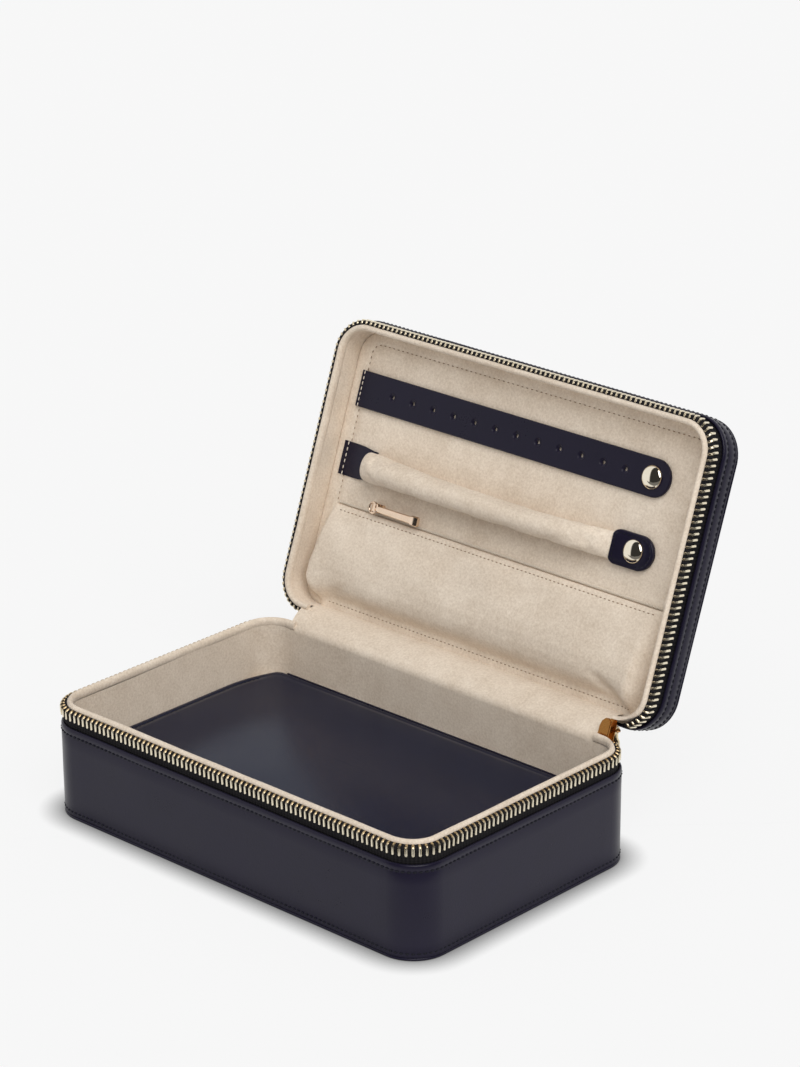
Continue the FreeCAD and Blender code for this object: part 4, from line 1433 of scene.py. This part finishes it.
# zip pocket; edges are y with the left and right end there, depths are y with the swell there, and
# pairs are for the left and the right end
pouchLook = {
    "edges": [(16.4, -98.5, 99.5), (24.0, -99.5, 100.4), (34.0, -101.0, 100.6), (46.0, -102.6, 100.6),
              (53.0, -102.6, 100.4), (58.0, -100.0, 99.5), (61.5, -95.0, 98.5), (66.0, -93.0, 97.5)],
    "depths": [(16.4, 1.7), (18.5, 3.0), (22.0, 4.4), (30.0, 6.4), (38.0, 8.0), (45.0, 8.9), (50.0, 8.7),
               (53.5, 7.5), (56.0, 5.5), (57.6, 3.4), (58.6, 1.8), (59.5, 1.0), (60.6, 0.75), (66.0, 0.6)],
    "seat": 63.9,
    "skin": 0.1,
    "lip": 0.9,
    "along": 84,
    "down": 44,
    "crowding": (0.12, 0.25),
    "endRun": (3.2, 9.0),
    "endBow": 0.7,
    "endSwell": 0.02,
    "mouthSeam": 2,
    "flange": 58.8,
    "earDrop": (2.6, 5.0),
    "earRun": (84.5, 94.5),
    "earRise": (44.0, 58.0),
    "pinch": (88.5, 60.2),
    "crease": (1.2, 3.0),
    "creaseSlope": (1.48, 1.79),
    "creaseWidth": 2.4,
    "creaseRise": (47.0, 58.0),
    "folds": 1.3,
    "foldScale": ((0.035, 0.02), (-0.012, 0.05)),
    "foldDepth": 6.0,
    "footSeam": 61.4,
    "seamEnds": (5, 4),
    "seamLift": 0.05,
    "stitch": (2.4, 1.3, 0.5, 0.45),
    "stretch": 14.0,
    "bend": 0.25,
    "shrink": -0.022,
    "pressure": 4.0,
    "frames": 20,
    "cap": 2.0,
}


def pouchColumn(look, share):
    # one column of the pouch's face from its mouth to the flange that is sewn to the panel
    column = []
    top = look["depths"][0][0]
    foot = look["depths"][-1][0]
    ease = look["crowding"][1]
    leftRun, rightRun = look["endRun"]
    pinchX, pinchY = look["pinch"]
    slope, slant = look["creaseSlope"]
    for k in range(look["down"] + 1):
        part = k / look["down"]
        y = top + (foot - top) * (part * (1 - ease) + ease * math.sin(math.pi * part / 2))
        left, right = between(look["edges"], y)
        x = left + (right - left) * share
        side = 0 if x < 0 else 1
        ear = look["earDrop"][side] * smooth(abs(x), *look["earRun"]) * smooth(y, *look["earRise"])
        depth, = between(look["depths"], y - ear)
        leftEnd = min(1.0, (x - left) / leftRun) ** look["endBow"]
        rightEnd = math.sin(math.pi / 2 * min(1.0, (right - x) / rightRun))
        run = (abs(x) - pinchX + slope * (pinchY - y)) / slant
        crease = look["crease"][side] * math.exp(-(run / look["creaseWidth"]) ** 2)
        crease *= smooth(y, *look["creaseRise"])
        across, down = [x * byX + y * byY for byX, byY in look["foldScale"]]
        fold = look["folds"] * noise.noise(Vector((across, down, 4.0)))
        swell = max(0.0, depth + (fold - crease) * min(1.0, depth / look["foldDepth"]))
        swell *= max(leftEnd * rightEnd, look["endSwell"])
        column.append((x, y, look["seat"] - look["skin"] - swell))
    return column


def zipPouch():
    look = pouchLook
    rows = []
    for i in range(look["along"] + 1):
        even = i / look["along"]
        share = even - look["crowding"][0] * math.sin(2 * math.pi * even) / 2
        front = pouchColumn(look, share)
        x, y, z = front[0]
        y += look["lip"]
        lip = [(x, y, look["seat"]), (x, y, min(z + look["lip"], look["seat"]))]
        back = [(x, y, look["seat"]) for x, y, z in front[:1:-4]]
        rows.append(front + back + lip)
    cols = len(rows[0])
    mesh = loft("zipPouch", rows, caps=True)
    outwards(mesh)
    held = []
    for i, row in enumerate(rows):
        border = i == 0 or i == len(rows) - 1
        for k, (x, y, z) in enumerate(row):
            if border or k < 1 or k > look["down"] or y > look["flange"]:
                held.append(i * cols + k)
    mesh = puffed(mesh, held, look)
    foot = min(range(look["down"]), key=lambda k: abs(rows[0][k][1] - look["footSeam"]))
    head, tail = look["seamEnds"]
    seams = []
    for column in (look["mouthSeam"], foot):
        spots = [mesh.vertices[i * cols + column].co / mm for i in range(head, len(rows) - tail)]
        seams.append(([(spot.x, spot.y, spot.z - look["seamLift"]) for spot in spots], False))
    piece = seated("zipPouch", mesh, look["seat"])
    dress(piece, "lid", "padding", "pocket_pouch")
    dress(stitches("pouchStitches", seams, brownThread, look["stitch"], opened), "lid", "padding")


zipPouch()


# pocket zip: cream tape, a fine coil, the slider and its pull
coilLook = {
    "left": -95.0,
    "right": 99.0,
    "line": 15.7,
    "tape": [(11.4, 63.95), (11.4, 63.6), (11.9, 63.5), (16.4, 63.45), (16.8, 63.9)],
    "coilHeight": 63.1,
    "stitch": (0.95, 0.75, 1.7, 1.0),
}
pullLook = {
    "pin": (-71.0, 13.0, 58.6),
    "body": [(-74.4, 62.9), (-74.2, 61.2), (-73.2, 60.5), (-68.8, 60.5), (-67.8, 61.2), (-67.6, 62.9)],
    "bodyHalf": 2.0,
    "bodySoft": 0.3,
    "post": [(-70.6, 60.7), (-70.4, 59.0), (-69.8, 58.2), (-68.9, 58.2), (-68.3, 59.0), (-68.1, 60.7)],
    "postHalf": 0.45,
    "postSoft": 0.2,
    "ringRadius": 2.5,
    "wire": 0.5,
    "bar": [(-68.9, 0.9, 0.45), (-68.3, 1.35, 0.62), (-66.0, 1.5, 0.7), (-48.0, 1.7, 0.75),
            (-47.5, 1.7, 0.75), (-47.3, 2.1, 1.1), (-46.9, 2.25, 1.2), (-43.7, 2.25, 1.2),
            (-43.2, 1.95, 0.9)],
    "section": [(-1.0, -0.55), (-0.8, -1.0), (0.8, -1.0), (1.0, -0.55), (1.0, 0.55), (0.8, 1.0),
                (-0.8, 1.0), (-1.0, 0.55)],
}


def joined(name, meshes):
    form = bmesh.new()
    for mesh in meshes:
        form.from_mesh(mesh)
        bpy.data.meshes.remove(mesh)
    return meshOf(name, form)


def wireRing(point, side, radius, around):
    # a round section of wire, in the plane of side and Z
    turns = [2 * math.pi * k / around for k in range(around)]
    return [point + radius * (side * math.cos(turn) + Vector((0, 0, math.sin(turn)))) for turn in turns]


def torus(name, centre, radius, wire, steps=32, around=12):
    rows = []
    for i in range(steps):
        angle = 2 * math.pi * i / steps
        out = Vector((math.cos(angle), math.sin(angle), 0))
        rows.append(wireRing(Vector(centre) + out * radius, out, wire, around))
    return loft(name, rows, wrapRows=True)


def pocketCoil():
    look = coilLook
    rows = [[(x, y, z) for y, z in look["tape"]] for x in (look["left"], 0.0, look["right"])]
    strip = newPiece("pocketTape", loft("pocketTape", rows, caps=True), suede, opened)
    dress(strip, "lid", "cream_suede", "pocket_zip_tape")
    line = [(x, look["line"], look["coilHeight"]) for x in (look["left"], look["right"])]
    coil = stitches("pocketCoil", [(line, False)], creamThread, look["stitch"], opened)
    dress(coil, "lid", "cream_suede", "pocket_zip_coil")


def pocketPull():
    look = pullLook
    pinY, pinZ = look["pin"][1:]
    body, post = look["bodyHalf"], look["postHalf"]
    parts = [
        slab("slider", look["body"], pinY - body, pinY + body, look["bodySoft"], 2),
        slab("post", look["post"], pinY - post, pinY + post, look["postSoft"]),
    ]
    slider = newPiece("pocketSlider", joined("pocketSlider", parts), roseGold, opened, sharp=40)
    dress(slider, "pocket_zip", "gold_metal", "pocket_slider")
    rows = []
    for x, halfY, halfZ in look["bar"]:
        rows.append([(x, pinY + halfY * y, pinZ + halfZ * z) for y, z in look["section"]])
    parts = [torus("ring", look["pin"], look["ringRadius"], look["wire"]), loft("bar", rows, caps=True)]
    pull = newPiece("pocketPull", joined("pocketPull", parts), roseGold, opened, sharp=40)
    dress(pull, "pocket_zip_tab", "gold_metal", "pocket_pull")


pocketCoil()
pocketPull()
print("pocket done")


# main zip slider, drawn with the lid shut and tilted as the tapes lean
sliderLook = {
    "tilt": 20.0,
    "axis": (75.5, 48.0),
    "plate": [(90.0, 47.8), (91.0, 47.0), (95.0, 46.8), (95.6, 47.4), (95.7, 55.2), (95.2, 56.5),
              (94.0, 57.1), (92.4, 56.8), (90.7, 55.2), (90.0, 52.8)],
    "plates": [(66.35, 67.2), (70.6, 71.5)],
    "post": [(92.0, 52.0), (94.2, 50.6), (94.2, 53.4)],
    "postSoft": 0.1,
    "bail": [(91.0, 71.4), (91.0, 74.0), (91.7, 74.9), (93.3, 75.2), (94.9, 74.9), (95.6, 74.0),
             (95.6, 71.4)],
    "bailHeight": 52.0,
    "bailWire": 0.6,
    "soft": 0.28,
}


def tube(name, path, radius, around=10):
    # a round wire along points in a plane of constant Z
    rows = []
    for k, point in enumerate(path):
        along = (path[min(k + 1, len(path) - 1)] - path[max(k - 1, 0)]).normalized()
        rows.append(wireRing(point, Vector((along.y, -along.x, 0)), radius, around))
    return loft(name, rows, caps=True)


def softened(name, solid, width):
    # a copy of a solid with its sharp edges rounded
    form = bmesh.new()
    form.from_mesh(nodes[solid].data)
    bmesh.ops.remove_doubles(form, verts=form.verts, dist=1e-6)
    bmesh.ops.dissolve_limit(form, angle_limit=math.radians(3), verts=form.verts, edges=form.edges)
    sharp = [edge for edge in form.edges if edge.is_manifold and edge.calc_face_angle() > math.radians(35)]
    bmesh.ops.bevel(form, geom=sharp, offset=width * mm, segments=2, affect="EDGES", clamp_overlap=True)
    return meshOf(name, form)


def mainSlider():
    look = sliderLook
    axis = Vector((0, *look["axis"])) * mm
    turn = Matrix.Rotation(math.radians(-look["tilt"]), 4, "X")
    lean = Matrix.Translation(axis) @ turn @ Matrix.Translation(-axis)
    parts = [slab("plate", look["plate"], low, high, look["soft"], 2) for low, high in look["plates"]]
    parts.append(slab("post", look["post"], look["plates"][0][1], look["plates"][1][0], look["postSoft"]))
    bail = [Vector((x, y, look["bailHeight"])) for x, y in look["bail"]]
    parts.append(tube("bail", bail, look["bailWire"]))
    # the slider's plates are painted with the dark, warm reflection of the shaded suede around them
    slider = newPiece("mainSlider", joined("mainSlider", parts), shadedReflectionGold, lean, sharp=40)
    dress(slider, "main_zip", "gold_metal", "zip_slider")
    pull = newPiece("mainPull", softened("mainPull", "zip_pull", look["soft"]), gold, still, sharp=40)
    dress(pull, "main_zip_tab", "gold_metal", "zip_pull")


mainSlider()
print("main slider done")


# floor, light and camera
studioLook = {
    "sky": 0.43,
    "backdrop": 0.930,
    "cameraSide": (0.68, -0.66, 0.32),
    "cameraSideShare": 0.04,
    "cameraSideEdge": (0.17, 0.24),
    "keyStrength": 1.85,
    "keyAngle": 50.0,
    "toKey": (0.55, -0.35, 0.76),
    "contactShadowReach": 0.013,
    "tableEnd": (0.14, 0.26),
    "tableEndShare": 0.12,
    "floorShade": 0.10,
    "floorGlow": 0.945,
    "floorReach": 30.0,
    "place": (1.01126, -1.03663, 0.71207),
    "aim": (-0.0073, 0.0482, 0.1241),
    "roll": -0.358,
    "lens": 124.14,
}


def shownRays(wire):
    # camera rays, and all rays that see the pale background as it is, not as light
    names = ("Is Camera Ray", "Is Glossy Ray", "Is Transmission Ray")
    seen = [wire.node("ShaderNodeLightPath", {}, {}, name) for name in names]
    return seen[0], seen[0] + seen[1] + seen[2]


def dimmed(wire, coordinate, edge, share):
    # falls from 1 to share on the camera's side, across an edge
    spot = wire.node("ShaderNodeTexCoord", {}, {}, coordinate)
    links = {0: spot, 1: studioLook["cameraSide"]}
    facing = wire.node("ShaderNodeVectorMath", {"operation": "DOT_PRODUCT"}, links, "Value")
    links = {"Value": facing, "From Min": edge[0], "From Max": edge[1], "To Min": 1.0, "To Max": share}
    return wire.node("ShaderNodeMapRange", {"interpolation_type": "SMOOTHSTEP"}, links)


def backdrop(look):
    world = bpy.data.worlds.new("studio")
    bpy.context.scene.world = world
    world.use_nodes = True
    wire = Wire(world.node_tree)
    back = world.node_tree.nodes["Background"]
    camera, shown = shownRays(wire)
    dim = dimmed(wire, "Generated", look["cameraSideEdge"], look["cameraSideShare"])
    seen = look["sky"] + (look["backdrop"] - look["sky"]) * shown
    back.inputs["Color"].default_value = (1, 1, 1, 1)
    link(seen - look["backdrop"] * (shown - camera) * (1 - dim), back, "Strength")


def paperFloor(look):
    tone = look["backdrop"]
    constants = {"Base Color": (tone, tone, tone, 1), "Roughness": 1.0, "Specular IOR Level": 0.0}
    paper, wire, shader = startMaterial("paper", constants)
    camera, shown = shownRays(wire)
    # the floor's glow is darkened close to the case by ambient occlusion: a painted contact shadow
    links = {"Distance": look["contactShadowReach"]}
    paintedContactShadow = wire.node("ShaderNodeAmbientOcclusion", {"samples": 16}, links, "AO")
    table = dimmed(wire, "Object", look["tableEnd"], look["tableEndShare"])
    strength = look["floorGlow"] * paintedContactShadow * paintedContactShadow * (camera + (1 - camera) * table)
    glow = wire.node("ShaderNodeEmission", {}, {"Color": (1, 1, 1, 1), "Strength": strength})
    lit = Wire(wire.tree, shader.outputs["BSDF"])
    links = {"Fac": shown * (1 - look["floorShade"]), 1: lit, 2: glow}
    link(wire.node("ShaderNodeMixShader", {}, links), wire.tree.nodes["Material Output"], "Surface")
    mesh = bpy.data.meshes.new("floor")
    reach = look["floorReach"]
    corners = [(-reach, -reach, 0), (reach, -reach, 0), (reach, reach, 0), (-reach, reach, 0)]
    mesh.from_pydata(corners, [], [(0, 1, 2, 3)])
    mesh.materials.append(paper)
    placed("floor", mesh)


def keyLight(look):
    key = bpy.data.lights.new("key", "SUN")
    key.energy = look["keyStrength"]
    key.angle = math.radians(look["keyAngle"])
    placed("key", key).rotation_euler = Vector(look["toKey"]).to_track_quat("Z", "Y").to_euler()


def viewpoint(look):
    camera = bpy.data.cameras.new("camera")
    camera.lens = look["lens"]
    camera.sensor_width = 36.0
    camera.clip_end = 100.0
    place = Vector(look["place"])
    aim = (Vector(look["aim"]) - place).to_track_quat("-Z", "Y").to_matrix().to_4x4()
    roll = Matrix.Rotation(math.radians(look["roll"]), 4, "Z")
    stand = placed("camera", camera)
    stand.matrix_world = Matrix.Translation(place) @ aim @ roll
    bpy.context.scene.camera = stand


bpy.context.scene.view_settings.view_transform = "Standard"
for setUp in (backdrop, paperFloor, keyLight, viewpoint):
    setUp(studioLook)
print("studio done")


# solids that keep their own shape get the finish of their slot
finishes = {
    "navy_leather": leather,
    "cream_suede": suede,
    "padding": suede,
    "gold_metal": gold,
    "zip_tape": tape,
    "board": card,
}
for entry in frame["record"]["subparts"]:
    solid = nodes[entry["node"]]
    solid.data.materials.clear()
    solid.data.materials.append(finishes[entry["material_slot"]])
